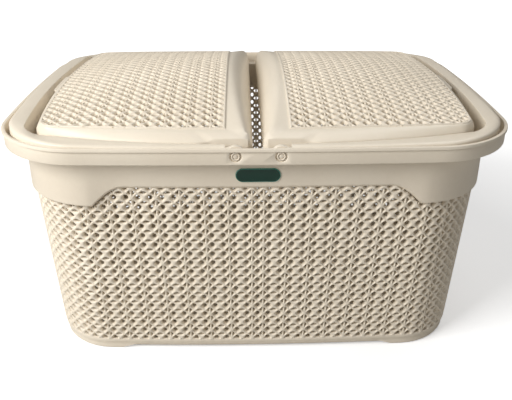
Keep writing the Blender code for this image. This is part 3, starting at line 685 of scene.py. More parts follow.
@dataclass
class BasketMoulding:
    """The fixed moulding: rim, band, knit walls, base, feet and the lugs of the lids."""

    rim: Outline = Outline(222.0 * MM, 167.5 * MM, 70.0 * MM, 8.0 * MM, 5.0 * MM)
    band: Outline = Outline(208.0 * MM, 153.2 * MM, 65.171 * MM, 3.5 * MM, 5.7 * MM)
    rim_top: float = 219.0 * MM
    bead: float = 1.3 * MM
    bead_height: float = 3.1 * MM
    upstand: float = 1.9 * MM
    skirt_bottom: float = 204.5 * MM
    ledge: float = 207.5 * MM
    band_bottom: float = 178.5 * MM
    corner_drop: float = 18.5 * MM
    band_thick: float = 2.2 * MM
    wall_step: Point2 = (2.4 * MM, 2.3 * MM)
    taper: float = 0.0612
    underside: float = 2.5 * MM
    floor_top: float = 5.5 * MM
    crease: float = 8.5 * MM
    strip_top: float = 12.0 * MM
    recess: float = 0.8 * MM
    wall_thick: float = 2.4 * MM
    knit_top: float = 172.8 * MM
    knit_row: float = 9.677 * MM
    columns: int = 128
    foot_inset: float = 0.9 * MM
    foot_width: float = 16.0 * MM
    foot_gap: Point2 = (133.83 * MM, 86.13 * MM)
    foot_ramp: float = 8.0 * MM
    pattern: KnitPattern = field(default_factory=KnitPattern)

    def wall(self, z: float, inset: float) -> Outline:
        """The tapered wall's outline at a height, moved in by the inset."""
        lean = self.taper * (z - self.band_bottom) - inset
        return Outline(self.band.half_x - self.wall_step[0] + lean, self.band.half_y - self.wall_step[1] + lean,
                       self.band.radius - self.wall_step[0] + lean, self.band.bow_x, self.band.bow_y)

    def on_wall(self, z: float, inset: float, rise: float) -> list[Point3]:
        """A ring of the tapered wall taken at a height and lifted by the rise."""
        return level(self.wall(z, inset).points(), z + rise)

    def drop(self, x: float, y: float) -> float:
        """How far the band's lower edge drops at a place of its outline."""
        along_x = abs(x) / (self.band.half_x - self.band.radius)
        along_y = abs(y) / (self.band.half_y - self.band.radius)
        if along_x > 1.0 and along_y > 1.0:
            return self.corner_drop
        along, start = (along_y, SHORT_SCALLOP) if along_x > 1.0 else (along_x, LONG_SCALLOP)
        turn = min(1.0, max(0.0, (along - start) / (1.0 - start)))
        return self.corner_drop * (1.0 - math.cos(turn * math.pi / 2.0))

    def drops(self) -> list[float]:
        """The band edge's drop at every point of the outline."""
        return [self.drop(x, y) for x, y in self.band.points()]

    def at_band_edge(self, wall_inset: float, rise: float) -> list[Point3]:
        """A ring on the wall's taper that follows the band's lower edge."""
        high = self.wall(self.band_bottom, wall_inset).points()
        low = self.wall(self.band_bottom - self.corner_drop, wall_inset).points()
        ring = []
        for top, foot, fall in zip(high, low, self.drops()):
            blend = fall / self.corner_drop
            ring.append((top[0] + (foot[0] - top[0]) * blend, top[1] + (foot[1] - top[1]) * blend,
                         self.band_bottom - fall + rise))
        return ring

    def on_band(self, inset: float, rise: float) -> list[Point3]:
        """A ring on the band's face that follows its lower edge."""
        return [(x, y, self.band_bottom - fall + rise)
                for (x, y), fall in zip(self.band.inset(inset).points(), self.drops())]

    def build_rim(self) -> bpy.types.Object:
        """The band, the ledge and the beaded upstand, as one ring.

        Returns:
            The finished piece.
        """
        rim = self.rim
        top = self.rim_top
        bead_low = top - self.bead_height
        low, ledge, thick = self.skirt_bottom, self.ledge, self.band_thick
        outer, inner = self.bead, self.bead + self.upstand
        rings = [self.at_band_edge(0.25 * MM, -0.4 * MM)]
        rings += [self.on_band(inset * MM, rise * MM) for inset, rise in ((0.9, 0.9), (0.25, 1.6), (0.0, 2.4))]
        rings += [level(outline.inset(inset + more * MM).points(), z + rise * MM)
                  for outline, inset, more, z, rise in (
            (self.band, 0.0, 0.0, low, -1.2), (self.band, 0.0, -0.35, low, -0.35), (self.band, 0.0, -1.2, low, 0.0),
            (rim, outer, 0.7, low, 0.0), (rim, outer, 0.2, low, 0.2), (rim, outer, 0.0, low, 0.7),
            (rim, outer, 0.0, bead_low, -0.1), (rim, outer, -0.3, bead_low, 0.0), (rim, 0.0, 0.35, bead_low, 0.1),
            (rim, 0.0, 0.0, bead_low, 0.5), (rim, 0.0, 0.0, top, -0.9), (rim, 0.0, 0.25, top, -0.25),
            (rim, 0.0, 0.9, top, 0.0), (rim, inner, -0.9, top, 0.0), (rim, inner, -0.25, top, -0.25),
            (rim, inner, 0.0, top, -0.9), (rim, inner, 0.0, ledge, 0.8), (rim, inner, 0.25, ledge, 0.25),
            (rim, inner, 0.8, ledge, 0.0), (self.band, thick, -0.8, ledge, 0.0),
            (self.band, thick, -0.2, ledge, -0.25), (self.band, thick, 0.0, ledge, -0.9))]
        rings.append(self.on_band(thick, 2.2 * MM))
        rings += [self.at_band_edge(self.wall_thick + more * MM, rise * MM)
                  for more, rise in ((0.3, 0.2), (0.3, -1.0), (-0.3, -1.2))]
        rings.append(self.at_band_edge(self.recess, -0.9 * MM))
        return through_rings("rim_and_band", rings, closed=True)

    def build_base(self) -> bpy.types.Object:
        """The floor with its plain strip up to the knit.

        Returns:
            The finished piece.
        """
        rings = []
        reach = 3.4 * MM
        proud = 0.3 * MM
        for share in (0.0, 0.25, 0.5, 0.75, 1.0):
            angle = math.radians(90.0 * share)
            rings.append(self.on_wall(self.underside, proud + (reach - proud) * (1.0 - math.sin(angle)),
                                      (self.crease - self.underside) * (1.0 - math.cos(angle))))
        rings += [
            self.on_wall(self.crease, 0.05 * MM, 0.1 * MM), self.on_wall(self.crease, 0.0, 0.35 * MM),
            self.on_wall(self.strip_top - 0.7 * MM, 0.0, 0.0), self.on_wall(self.strip_top - 0.2 * MM, 0.2 * MM, 0.0),
            self.on_wall(self.strip_top, 0.7 * MM, 0.0), self.on_wall(self.strip_top, self.wall_thick, 0.0),
            self.on_wall(self.strip_top, self.wall_thick + 0.3 * MM, -0.3 * MM)]
        for share in (0.0, 0.33, 0.66, 1.0):
            angle = math.radians(90.0 * share)
            rings.append(self.on_wall(self.floor_top, self.wall_thick + 0.3 * MM + reach * (1.0 - math.cos(angle)),
                                      reach * (1.0 - math.sin(angle))))
        return through_rings("base_tray", rings)

    def build_foot(self) -> bpy.types.Object:
        """The corner foot at the front right.

        Returns:
            The finished piece.
        """
        rings = []
        for z, inset in ((0.0, 1.2), (0.35, 0.45), (0.9, 0.1), (1.6, 0.0), (5.2, 0.0), (5.4, 0.2)):
            rings.append(level(self.foot_path(z * MM, inset * MM), z * MM))
        return through_rings("foot_front_right", rings)

    def foot_path(self, z: float, edge: float) -> list[Point2]:
        """The outline of the front right foot at a height.

        Args:
            z: the height.
            edge: how far the outer side is moved in for the rounded edge.

        Returns:
            The outline's points, outer side first.
        """
        outer = self.wall(self.underside, self.foot_inset + edge)
        inner = self.wall(self.underside, self.foot_inset + self.foot_width - edge)
        lean = z * self.foot_ramp / self.underside - edge
        start_x = self.foot_gap[0] - lean
        start_y = self.foot_gap[1] - lean
        path = []
        for outline, sign in ((outer, 1), (inner, -1)):
            flat = [(start_x + (outline.half_x - outline.radius - start_x) * step / 3.0, -outline.half_y)
                    for step in range(3)]
            flat += outline.corner(1, -1, 10)
            flat += [(outline.half_x, -start_y - (outline.half_y - outline.radius - start_y) * step / 2.0)
                     for step in (1, 0)]
            path += [outline.bowed(x, y) for x, y in flat][::sign]
        return path

    def knit_limit(self) -> tuple[np.ndarray, np.ndarray]:
        """The band's lower edge as a height over the share of the way round."""
        shares = ring_shares(self.band.points())
        heights = np.array([self.band_bottom - fall for fall in self.drops()] + [self.band_bottom])
        return shares, heights

    def surface(self, columns: np.ndarray, rows: np.ndarray) -> tuple[np.ndarray, np.ndarray]:
        """The knit wall's plane, by column round the basket and row down from the top.

        Args:
            columns: columns from the middle of the front, anticlockwise.
            rows: rows down from the first crossing under the band.

        Returns:
            Points, and outward normals.
        """
        places = np.zeros((len(columns), 3))
        normals = np.zeros((len(columns), 3))
        shares = np.mod(columns / self.columns, 1.0)
        lean = math.atan(self.taper)
        known = np.round(rows, 4)
        for row in np.unique(known):
            here = known == row
            z = self.knit_top - row * self.knit_row
            ring = np.array(self.wall(z, self.recess).points())
            ring = np.vstack((ring, ring[:1]))
            way = ring_shares(ring[:-1])
            along = np.gradient(np.vstack((ring[-2], ring, ring[1])), axis=0)[1:-1]
            outward = np.column_stack((along[:, 1], -along[:, 0]))
            outward /= np.linalg.norm(outward, axis=1)[:, None]
            for axis in (0, 1):
                places[here, axis] = np.interp(shares[here], way, ring[:, axis])
                normals[here, axis] = np.interp(shares[here], way, outward[:, axis])
            places[here, 2] = z
        normals[:, :2] /= np.linalg.norm(normals[:, :2], axis=1)[:, None]
        normals[:, :2] *= math.cos(lean)
        normals[:, 2] = -math.sin(lean)
        return places, normals

    def build_knit(self, name: str, centre: int, pairs: int, first: Stitch) -> bpy.types.Object:
        """One side of the knit wall.

        Args:
            name: the new object's name.
            centre: the column at the middle of the side.
            pairs: pairs of stitches on each half.
            first: the stitch next to the middle.

        Returns:
            The finished piece.
        """
        sheet = self.pattern.flat_sheet(name, first, pairs, 18, both_sides=True)
        way, heights = self.knit_limit()

        def keeps(columns: np.ndarray, rows: np.ndarray) -> np.ndarray:
            """Which places lie below the band."""
            z = self.knit_top - (rows - 1.0) * self.knit_row
            shares = np.mod((columns + centre) / self.columns, 1.0)
            return (z < np.interp(shares, way, heights) - 0.3 * MM) & (z > self.strip_top - 0.6 * MM)

        self.pattern.trim(sheet, keeps)
        self.pattern.drape(sheet, lambda columns, rows: self.surface(columns + centre, rows - 1.0))
        return sheet

    def build_lugs(self) -> list[bpy.types.Object]:
        """The four lugs on the ledge that carry the lids' stubs.

        Returns:
            The finished pieces.
        """
        radius = 4.6 * MM
        face = -STUB_FACE
        points = [(STUB_X + radius, face, self.ledge - MM)]
        for step in range(17):
            angle = math.radians(180.0 * step / 16.0)
            points.append((STUB_X + radius * math.cos(angle), face, PIVOT_Z + radius * math.sin(angle)))
        points.append((STUB_X - radius, face, self.ledge - MM))
        right = slab("lid_lug_front_right", points, (0.0, 2.4 * MM, 0.0), 0.3 * MM)
        left = mirrored_copy(right)
        return [right, left, turned_copy(right), turned_copy(left)]

    def cut_pivots(self, rim: bpy.types.Object) -> None:
        """Cuts the pin seats in the upstand and the eye slots in the ledge.

        Args:
            rim: the rim piece.
        """
        skirt = self.rim.half_y + self.rim.bow_y - self.bead
        cutters = []
        for side in (-1.0, 1.0):
            for face in (-1.0, 1.0):
                cutters.append(self.seat_cutter(side * PIVOT_X, face, skirt))
                low = min(face * 164.4 * MM, face * 169.2 * MM)
                outline = [(side * PIVOT_X + over * MM, low, z * MM) for over, z in
                           ((-9.4, 203.0), (10.4, 203.0), (10.4, 208.6), (-9.4, 208.6))]
                cutters.append(through_rings("slot_cutter", [outline, [(x, y + 4.8 * MM, z) for x, y, z in outline]]))
        cutter = joined("pivot_cutter", cutters)
        apply_modifier(rim, "BOOLEAN", operation="DIFFERENCE", solver="EXACT", object=cutter)
        bpy.data.objects.remove(cutter, do_unlink=True)

    def seat_cutter(self, x: float, face: float, skirt: float) -> bpy.types.Object:
        """The shape of a pin's countersunk seat.

        Args:
            x: the seat's place along X.
            face: -1 at the front, 1 at the back.
            skirt: how far the skirt's face is from the middle plane.

        Returns:
            The cutter.
        """
        rings = [disc(x, face * (skirt - depth * MM), PIVOT_Z, radius * MM, 48) for radius, depth in
                 ((5.75, -0.7), (5.75, -0.05), (4.95, 0.45), (4.85, 0.7), (4.85, 1.6))]
        return through_rings("seat_cutter", rings)

    def build(self) -> None:
        """Builds and dresses the whole moulding."""
        rim = self.build_rim()
        self.cut_pivots(rim)
        dress(rim, CREAM, BODY, ("basket_body",))
        base = self.build_base()
        dress(base, CREAM, BODY)
        right = self.build_foot()
        left = mirrored_copy(right)
        for piece in [right, left, turned_copy(right), turned_copy(left)] + self.build_lugs():
            dress(piece, CREAM, BODY)
        quarter = self.columns // 4
        sides = (("knit_front", 0, 10, Stitch.STAR), ("knit_right", quarter, 6, Stitch.BLOCK),
                 ("knit_back", 2 * quarter, 10, Stitch.STAR), ("knit_left", 3 * quarter, 6, Stitch.BLOCK))
        for name, centre, pairs, first in sides:
            dress(self.build_knit(name, centre, pairs, first), CREAM_KNIT, BODY, crease=70.0)


def ring_shares(points: Sequence[Sequence[float]]) -> np.ndarray:
    """The share of the way round a closed outline at each point, and 1 for the closing point."""
    ring = np.array([tuple(point[:2]) for point in points] + [tuple(points[0][:2])])
    steps = np.linalg.norm(np.diff(ring, axis=0), axis=1)
    way = np.concatenate(([0.0], np.cumsum(steps)))
    return way / way[-1]


@dataclass
class PivotPin:
    """A snap pin that a handle's eye turns on."""

    skirt: float = 171.2 * MM
    sides: int = 40
    profile: tuple[Point2, ...] = (
        (0.60, -0.02), (1.40, -0.06), (1.70, -0.20), (1.85, -0.65), (2.35, -0.70), (2.55, -0.30),
        (2.75, 0.10), (3.05, 0.22), (3.35, 0.12), (3.55, -0.15), (3.60, -1.50), (2.60, -1.55), (2.60, -6.55),
        (3.30, -6.65), (3.25, -7.2), (2.0, -8.6))

    def build(self) -> None:
        """Builds and dresses the four pins."""
        rings = [disc(PIVOT_X, -(self.skirt + out * MM), PIVOT_Z, radius * MM, self.sides)
                 for radius, out in self.profile]
        right = through_rings("pin_front_right", rings)
        left = mirrored_copy(right)
        pins = {"pivot_" + pin.name: pin for pin in (right, left, turned_copy(right), turned_copy(left))}
        for node, piece in pins.items():
            dress(piece, CREAM_PIN, BODY, (node,))


@dataclass
class Badge:
    """The bare pill-shaped badge plate on the band."""

    half_length: float = 19.0 * MM
    half_height: float = 6.1 * MM
    z: float = 190.6 * MM
    back: float = 158.2 * MM
    thick: float = 1.8 * MM
    lip: float = 0.55 * MM

    def pill(self, inset: float, y: float) -> list[Point3]:
        """A ring of the pill moved in by the inset."""
        radius = self.half_height - inset
        reach = self.half_length - self.half_height
        ring = []
        for centre, start in ((reach, -90.0), (-reach, 90.0)):
            for step in range(19):
                angle = math.radians(start + 10.0 * step)
                ring.append((centre + radius * math.cos(angle), -y, self.z + radius * math.sin(angle)))
        return ring

    def build(self) -> None:
        """Builds and dresses the badge."""
        front = self.back + self.thick
        rings = [self.pill(inset, y) for inset, y in (
            (0.0, self.back), (0.0, front - 0.45 * MM), (0.12 * MM, front - 0.12 * MM), (0.3 * MM, front),
            (self.lip, front), (self.lip + 0.15 * MM, front - 0.15 * MM), (self.lip + 0.6 * MM, front - 0.2 * MM))]
        plate = through_rings("badge", rings)
        dress(plate, BADGE_GREEN, BODY, ("badge_plate",), 30.0)
        # The faces of the lip take the lighter green: a painted highlight round the badge's edge.
        plate.data.materials.append(BADGE_EDGE_HIGHLIGHT.material())
        for face in plate.data.polygons:
            in_from_edge = self.half_height - abs(face.center.z - self.z)
            if abs(face.center.x) > self.half_length - self.half_height:
                reach = self.half_length - self.half_height
                in_from_edge = self.half_height - math.hypot(abs(face.center.x) - reach, face.center.z - self.z)
            if len(face.vertices) == 4 and in_from_edge < self.lip:
                face.material_index = 1


@dataclass
class Lid:
    """One domed lid: a bordered shell with a sunk knit panel, a lift tab and two stubs."""

    outline: Outline = Outline(188.6 * MM, 136.6 * MM, 14.0 * MM, 8.9 * MM, 24.1 * MM)
    panel_half_y: float = 143.0 * MM
    panel_taper: float = 0.05
    panel_in: float = 27.5 * MM
    panel_out: float = 185.0 * MM
    panel_bow: float = 6.0 * MM
    panel_corner: float = 12.0 * MM
    panel_base: float = 226.5 * MM
    crown: float = 18.33 * MM
    crown_end: float = 5.6 * MM
    edge_z: float = 219.5 * MM
    edge_rise: float = 7.4 * MM
    gap_half: float = 4.2 * MM
    shoulder_z: float = 213.5 * MM
    lobe_y: float = 156.2 * MM
    lobe_end: float = 40.0 * MM
    ramp: float = 12.0 * MM
    seat: float = 207.8 * MM
    wall: float = 2.2 * MM
    drop: float = 0.9 * MM
    ridge: float = 1.5 * MM
    column_start: float = 25.25 * MM
    column_pitch: float = 9.65 * MM
    row_start: float = -140.6 * MM
    rows: int = 29
    pattern: KnitPattern = field(default_factory=KnitPattern)

    def edge_y(self, x: float) -> float:
        """How far the lid's long edge is from the middle plane."""
        return self.outline.half_y + self.outline.bow_y * bulge(x, self.outline.half_x)

    def edge_x(self, y: float) -> float:
        """How far the lid's end edge is from the middle plane."""
        return self.outline.half_x + self.outline.bow_x * bulge(y, self.outline.half_y)

    def panel_x(self, y: float) -> float:
        """Where the panel ends along X."""
        return self.panel_out + self.panel_bow * bulge(y, self.panel_half_y)

    def taper(self, x: float) -> float:
        """The share of the panel's half depth that is left at a place along X."""
        return 1.0 - self.panel_taper * (x / self.panel_out) ** 2

    def crease(self, y: float) -> float:
        """Where the shoulder starts to roll down to the middle gap."""
        return (10.0 + 15.0 * bulge(y, self.lobe_y) ** 0.7) * MM

    def panel_z(self, x: np.ndarray, y: np.ndarray) -> np.ndarray:
        """The crowned height of the panel.

        Args:
            x: places along X.
            y: places along Y.

        Returns:
            Heights.
        """
        end = self.panel_out + self.panel_bow * np.maximum(0.0, 1.0 - (y / self.panel_half_y) ** 2)
        along = np.clip((x - self.panel_in) / (end - self.panel_in), 0.0, 1.0)
        crown = self.crown - (self.crown - self.crown_end) * along ** 3
        return self.panel_base + crown * np.maximum(0.0, 1.0 - (y / self.panel_half_y) ** 2)

    def roll(self, x: float, y: float, z: float) -> float:
        """The height once the shoulder's roll is taken off it."""
        crease = self.crease(y)
        if x >= crease:
            return z
        share = min(1.0, (crease - x) / (crease - self.gap_half))
        kept = max(0.0, 1.0 - share ** 1.9) ** 0.7
        return self.shoulder_z + (z - self.shoulder_z) * kept

    def plan(self) -> tuple[list[Point2], list[Point2], list[bool]]:
        """Matching points of the panel's outline and of the lid's own, anticlockwise.

        Returns:
            The panel's points, the lid's points, and whether each is on the side of the gap.
        """
        panel: list[Point2] = []
        rim: list[Point2] = []
        corner_x = self.panel_out - self.panel_corner
        steps = 46
        for face in (-1.0, 1.0):
            side_panel = []
            side_rim = []
            rim_end = self.outline.half_x - self.outline.radius
            for step in range(steps):
                share = step / steps
                x = self.panel_in + (corner_x - self.panel_in) * share
                side_panel.append((x, face * self.panel_half_y))
                x = self.gap_half + 4.0 * MM + (rim_end - self.gap_half - 4.0 * MM) * share
                blend = ease((x - self.lobe_end) / self.ramp)
                side_rim.append((x, face * (self.lobe_y + (self.edge_y(x) - self.lobe_y) * blend)))
            arc_steps = 12
            for step in range(arc_steps + 1):
                angle = math.radians(90.0 * step / arc_steps)
                flat_y = self.panel_half_y - self.panel_corner * (1.0 - math.cos(angle))
                end = self.panel_x(flat_y)
                side_panel.append((end - self.panel_corner * (1.0 - math.sin(angle)), face * flat_y))
                radius = self.outline.radius
                flat = (rim_end + radius * math.sin(angle), self.outline.half_y - radius * (1.0 - math.cos(angle)))
                x, y = self.outline.bowed(*flat)
                side_rim.append((x, face * y))
            half = 24
            panel_y = self.panel_half_y - self.panel_corner
            rim_y = self.outline.half_y - self.outline.radius
            for step in range(1, half + (1 if face < 0.0 else 0)):
                share = 1.0 - step / half
                side_panel.append((self.panel_x(panel_y * share), face * panel_y * share))
                x, y = self.outline.bowed(self.outline.half_x, rim_y * share)
                side_rim.append((x, face * y))
            if face > 0.0:
                side_panel.reverse()
                side_rim.reverse()
            panel += side_panel
            rim += side_rim
        inner = [False] * len(panel)
        count = 56
        foot = self.lobe_y - 4.0 * MM
        for step in range(count + 1):
            share = 1.0 - 2.0 * step / count
            panel.append((self.panel_in, share * self.panel_half_y))
            rim.append((self.gap_half, share * foot))
            inner.append(True)
        panel[-1] = (self.panel_in, -self.panel_half_y + 0.05 * MM)
        first = len(panel) - count - 1
        panel[first] = (self.panel_in, self.panel_half_y - 0.05 * MM)
        return [(x, y * self.taper(x)) for x, y in panel], rim, inner

    def build_shell(self) -> bpy.types.Object:
        """The lid's shell at +X: frame ridge, border, shoulder and skirt, open where the panel is.

        Returns:
            The finished piece.
        """
        panel, rim, inner = self.plan()
        edge = [self.rim_height(x, y, side) for (x, y), side in zip(rim, inner)]
        heights = self.panel_z(*np.array(panel).T)

        def on_panel(out: float, rise: float) -> list[Point3]:
            """A ring beside the panel's outline."""
            return [(x, y, z + rise) for (x, y), z in zip(spread_out(panel, out), heights)]

        def on_border(share: float, rise: float) -> list[Point3]:
            """A ring a share of the way over the border."""
            foot = spread_out(panel, 0.35 * MM)
            ring = []
            for start, end, high, low, side in zip(foot, rim, heights, edge, inner):
                x = start[0] + (end[0] - start[0]) * share
                y = start[1] + (end[1] - start[1]) * share
                top = high - self.drop * (1.0 - share)
                fall = 0.0 if side else (low - high) * share ** 1.6
                ring.append((x, y, self.roll(x, y, top + fall) + rise))
            return ring

        def on_rim(out: float, rise: float) -> list[Point3]:
            """A ring beside the lid's outline, below its edge."""
            return [(x, y, z + rise) for (x, y), z in zip(spread_out(rim, out), edge)]

        def at_seat(out: float, rise: float) -> list[Point3]:
            """A ring at the foot of the skirt."""
            return level(spread_out(rim, out), self.seat + rise)

        rings = [
            on_panel(-self.ridge - 0.2 * MM, -1.3 * MM),
            on_panel(-self.ridge - 0.1 * MM, 0.0),
            on_panel(-self.ridge + 0.25 * MM, 0.35 * MM),
            on_panel(-0.35 * MM, 0.35 * MM),
            on_panel(0.0, 0.0),
            on_panel(0.15 * MM, -self.drop * 0.8),
        ]
        rings += [on_border(share, 0.0) for share in
                  (0.02, 0.08, 0.16, 0.25, 0.34, 0.43, 0.52, 0.6, 0.68, 0.76, 0.83, 0.9, 0.95)]
        rings += [
            on_rim(-0.25 * MM, -0.1 * MM),
            on_rim(0.0, -0.6 * MM),
            at_seat(0.0, 0.5 * MM),
            at_seat(-0.4 * MM, 0.0),
            at_seat(-self.wall + 0.3 * MM, 0.0),
            at_seat(-self.wall, 0.5 * MM),
            on_rim(-self.wall, -self.wall - 0.6 * MM),
        ]
        rings += [on_border(share, -self.wall) for share in (0.8, 0.6, 0.4, 0.2, 0.04)]
        rings.append(on_panel(-self.ridge, -self.wall - self.drop))
        return through_rings("lid_shell_right", rings, closed=True)

    def rim_height(self, x: float, y: float, inner: bool) -> float:
        """The height of the lid's edge at a place of its outline."""
        middle = bulge(y, self.outline.half_y)
        rise = self.edge_rise * middle * min(1.0, x / self.panel_out) ** 3
        top = self.edge_z + rise
        if x < self.lobe_end:
            share = (abs(y) - self.panel_half_y) / max(self.edge_y(x) - self.panel_half_y, self.wall)
            top = self.panel_base - (self.panel_base - self.edge_z) * min(1.0, max(0.0, share)) ** 1.6
        if inner:
            return self.shoulder_z
        return self.roll(x, y, top)

    def build_panel(self) -> bpy.types.Object:
        """The knit panel of the lid at +X.

        Returns:
            The finished piece.
        """
        sheet = self.pattern.flat_sheet("lid_knit_right", Stitch.BLOCK, 9, self.rows + 2, both_sides=False)
        reach = 0.9 * MM - self.ridge

        def spots(columns: np.ndarray, rows: np.ndarray) -> tuple[np.ndarray, np.ndarray]:
            """Places along X and Y from columns and rows."""
            pitch = -2.0 * self.row_start / self.rows
            return self.column_start + columns * self.column_pitch, self.row_start + (rows - 1.0) * pitch

        def keeps(columns: np.ndarray, rows: np.ndarray) -> np.ndarray:
            """Which places lie inside the frame."""
            x, y = spots(columns, rows)
            y = y / self.taper(x)
            end = self.panel_out + self.panel_bow * np.maximum(0.0, 1.0 - (y / self.panel_half_y) ** 2) + reach
            inside = (x > self.panel_in - reach) & (x < end) & (np.abs(y) < self.panel_half_y + reach)
            corner = self.panel_corner
            over_x = x - (end - corner)
            over_y = np.abs(y) - (self.panel_half_y + reach - corner)
            cut = (over_x > 0.0) & (over_y > 0.0) & (np.hypot(over_x, over_y) > corner)
            return inside & ~cut

        def surface(columns: np.ndarray, rows: np.ndarray) -> tuple[np.ndarray, np.ndarray]:
            """Points and outward normals of the sunk panel."""
            x, y = spots(columns, rows)
            step = 0.5 * MM
            z = self.panel_z(x, y) - self.drop
            slope_x = (self.panel_z(x + step, y) - self.panel_z(x - step, y)) / (2.0 * step)
            slope_y = (self.panel_z(x, y + step) - self.panel_z(x, y - step)) / (2.0 * step)
            normals = np.column_stack((-slope_x, -slope_y, np.ones(len(x))))
            normals /= np.linalg.norm(normals, axis=1)[:, None]
            return np.column_stack((x, y, z)), normals

        self.pattern.trim(sheet, keeps)
        self.pattern.drape(sheet, surface)
        return sheet

    def build_tab(self) -> bpy.types.Object:
        """The thin lift tab at the lid's end.

        Returns:
            The finished piece.
        """
        half = 29.0 * MM
        proud = 3.3 * MM
        top = self.edge_z + self.edge_rise - 0.5 * MM
        front = []
        back = []
        for step in range(25):
            y = -half + 2.0 * half * step / 24.0
            near = self.edge_x(y) - 0.8 * MM
            rise = ease((half - abs(y)) / (6.0 * MM))
            front.append((near + 0.4 * MM + (proud + 0.4 * MM) * rise, y))
            back.append((near, y))
        return slab("lift_tab_right", level(front + back[::-1], top - 1.9 * MM), (0.0, 0.0, 1.9 * MM), 0.5 * MM)

    def build_stub(self) -> bpy.types.Object:
        """The hinge stub at the front of the lid at +X."""
        rings = [disc(STUB_X, -y * MM, PIVOT_Z, radius * MM, 24) for radius, y in
                 ((2.2, 154.6), (2.2, 158.8), (1.9, 159.1))]
        return through_rings("lid_stub_front_right", rings)

    def build(self) -> None:
        """Builds and dresses both lids."""
        shell = self.build_shell()
        panel = self.build_panel()
        tab = self.build_tab()
        stub = self.build_stub()
        right = (shell, panel, tab, stub, turned_copy(stub))
        left = [mirrored_copy(piece) for piece in right]
        for side, pieces in (("right", right), ("left", left)):
            for piece in pieces:
                knit = "knit" in piece.name
                stands_for = ("lid_" + side,) if "shell" in piece.name else ()
                dress(piece, CREAM_KNIT if knit else CREAM_LID, "lid_" + side, stands_for,
                      70.0 if knit else 38.0)


@dataclass
class Handle:
    """One loop handle: a channel that follows the rim, with a round eye at each end."""

    outer: Outline = Outline(212.0 * MM, 162.9 * MM, 58.0 * MM, 10.5 * MM, 5.0 * MM)
    inner: Outline = Outline(198.2 * MM, 136.1 * MM, 12.0 * MM, 9.4 * MM, 25.4 * MM)
    wall: float = 1.8 * MM
    seat: float = 207.8 * MM
    arm_top: float = 219.3 * MM
    arm_start: float = 27.3 * MM
    roll: Point2 = (6.5 * MM, 2.5 * MM)
    grip_rise: float = 5.7 * MM
    rise_start: float = 40.0 * MM
    notch_end: float = 44.0 * MM
    eye_radius: float = 8.4 * MM
    eye_face: float = 168.8 * MM
    eye_thick: float = 4.0 * MM

    def top(self, x: float) -> float:
        """The height of the handle's top."""
        reach = self.outer.half_x + self.outer.bow_x - self.rise_start
        share = min(1.0, max(0.0, x - self.rise_start) / reach)
        return self.arm_top + self.grip_rise * share ** 2.5

    def path(self, outline: Outline) -> list[Point2]:
        """The way along one edge of the handle at +X, from the front arm to the back arm."""
        corner_x = outline.half_x - outline.radius
        half = [(self.arm_start + (corner_x - self.arm_start) * step / 30.0, -outline.half_y) for step in range(30)]
        half += outline.corner(1, -1)
        straight = outline.half_y - outline.radius
        half += [(outline.half_x, -straight * (1.0 - step / 16.0)) for step in range(1, 16)]
        bowed = [outline.bowed(x, y) for x, y in half]
        middle = [outline.bowed(outline.half_x, 0.0)]
        return bowed + middle + [(x, -y) for x, y in reversed(bowed)]

    def section(self, out: Point2, inn: Point2) -> list[Point3]:
        """The channel's section between two matching places of its edges.

        Args:
            out: the place on the outer edge.
            inn: the place on the inner edge.

        Returns:
            The section's points in order.
        """
        across = Vector((inn[0] - out[0], inn[1] - out[1]))
        width = across.length
        across.normalize()
        top = self.top(out[0])
        notched = inn[0] < self.notch_end
        inner_foot = top - self.wall - 0.2 * MM if notched else self.seat
        over = min(self.roll[0], width - 1.6 * MM)
        fall = self.roll[1]
        profile = [(0.0, self.seat)]
        for step in range(9):
            angle = math.radians(90.0 * step / 8.0)
            profile.append((over * (1.0 - math.cos(angle)), top - fall * (1.0 - math.sin(angle))))
        profile += [
            (width - 1.0 * MM, top), (width - 0.42 * MM, top - 0.13 * MM), (width - 0.1 * MM, top - 0.5 * MM),
            (width, top - 1.0 * MM), (width, inner_foot), (width - self.wall, inner_foot),
            (width - self.wall, top - self.wall - 0.3 * MM), (self.wall + 1.6 * MM, top - self.wall - 0.3 * MM),
            (self.wall, top - self.wall - 1.9 * MM), (self.wall, self.seat)]
        return [(out[0] + across.x * way, out[1] + across.y * way, z) for way, z in profile]

    def build_loop(self) -> bpy.types.Object:
        """The channel of the handle at +X.

        Returns:
            The finished piece.
        """
        rings = [self.section(out, inn) for out, inn in zip(self.path(self.outer), self.path(self.inner))]
        return through_rings("handle_loop_right", rings)

    def build_eye(self) -> bpy.types.Object:
        """The round eye at the front end of the handle at +X, with its neck.

        Returns:
            The finished piece.
        """
        x, z = PIVOT_X, PIVOT_Z
        points = []
        for step in range(29):
            angle = math.radians(70.0 + 220.0 * step / 28.0)
            points.append((x + self.eye_radius * math.cos(angle), -self.eye_face,
                           z + self.eye_radius * math.sin(angle)))
        points += [(self.arm_start + 5.0 * MM, -self.eye_face, z - 3.9 * MM),
                   (self.arm_start + 5.0 * MM, -self.eye_face, self.arm_top - 1.4 * MM),
                   (self.arm_start - 2.0 * MM, -self.eye_face, self.arm_top - 1.2 * MM)]
        return slab("handle_eye_front_right", points, (0.0, self.eye_thick, 0.0), 0.7 * MM, 3)

    def build(self) -> None:
        """Builds and dresses both handles."""
        loop = self.build_loop()
        eye = self.build_eye()
        right = (loop, eye, turned_copy(eye))
        left = [mirrored_copy(piece) for piece in right]
        for side, pieces in (("right", right), ("left", left)):
            for piece in pieces:
                stands_for = ("handle_" + side,) if "loop" in piece.name else ()
                dress(piece, CREAM_LID, "handle_" + side, stands_for)


# The studio.


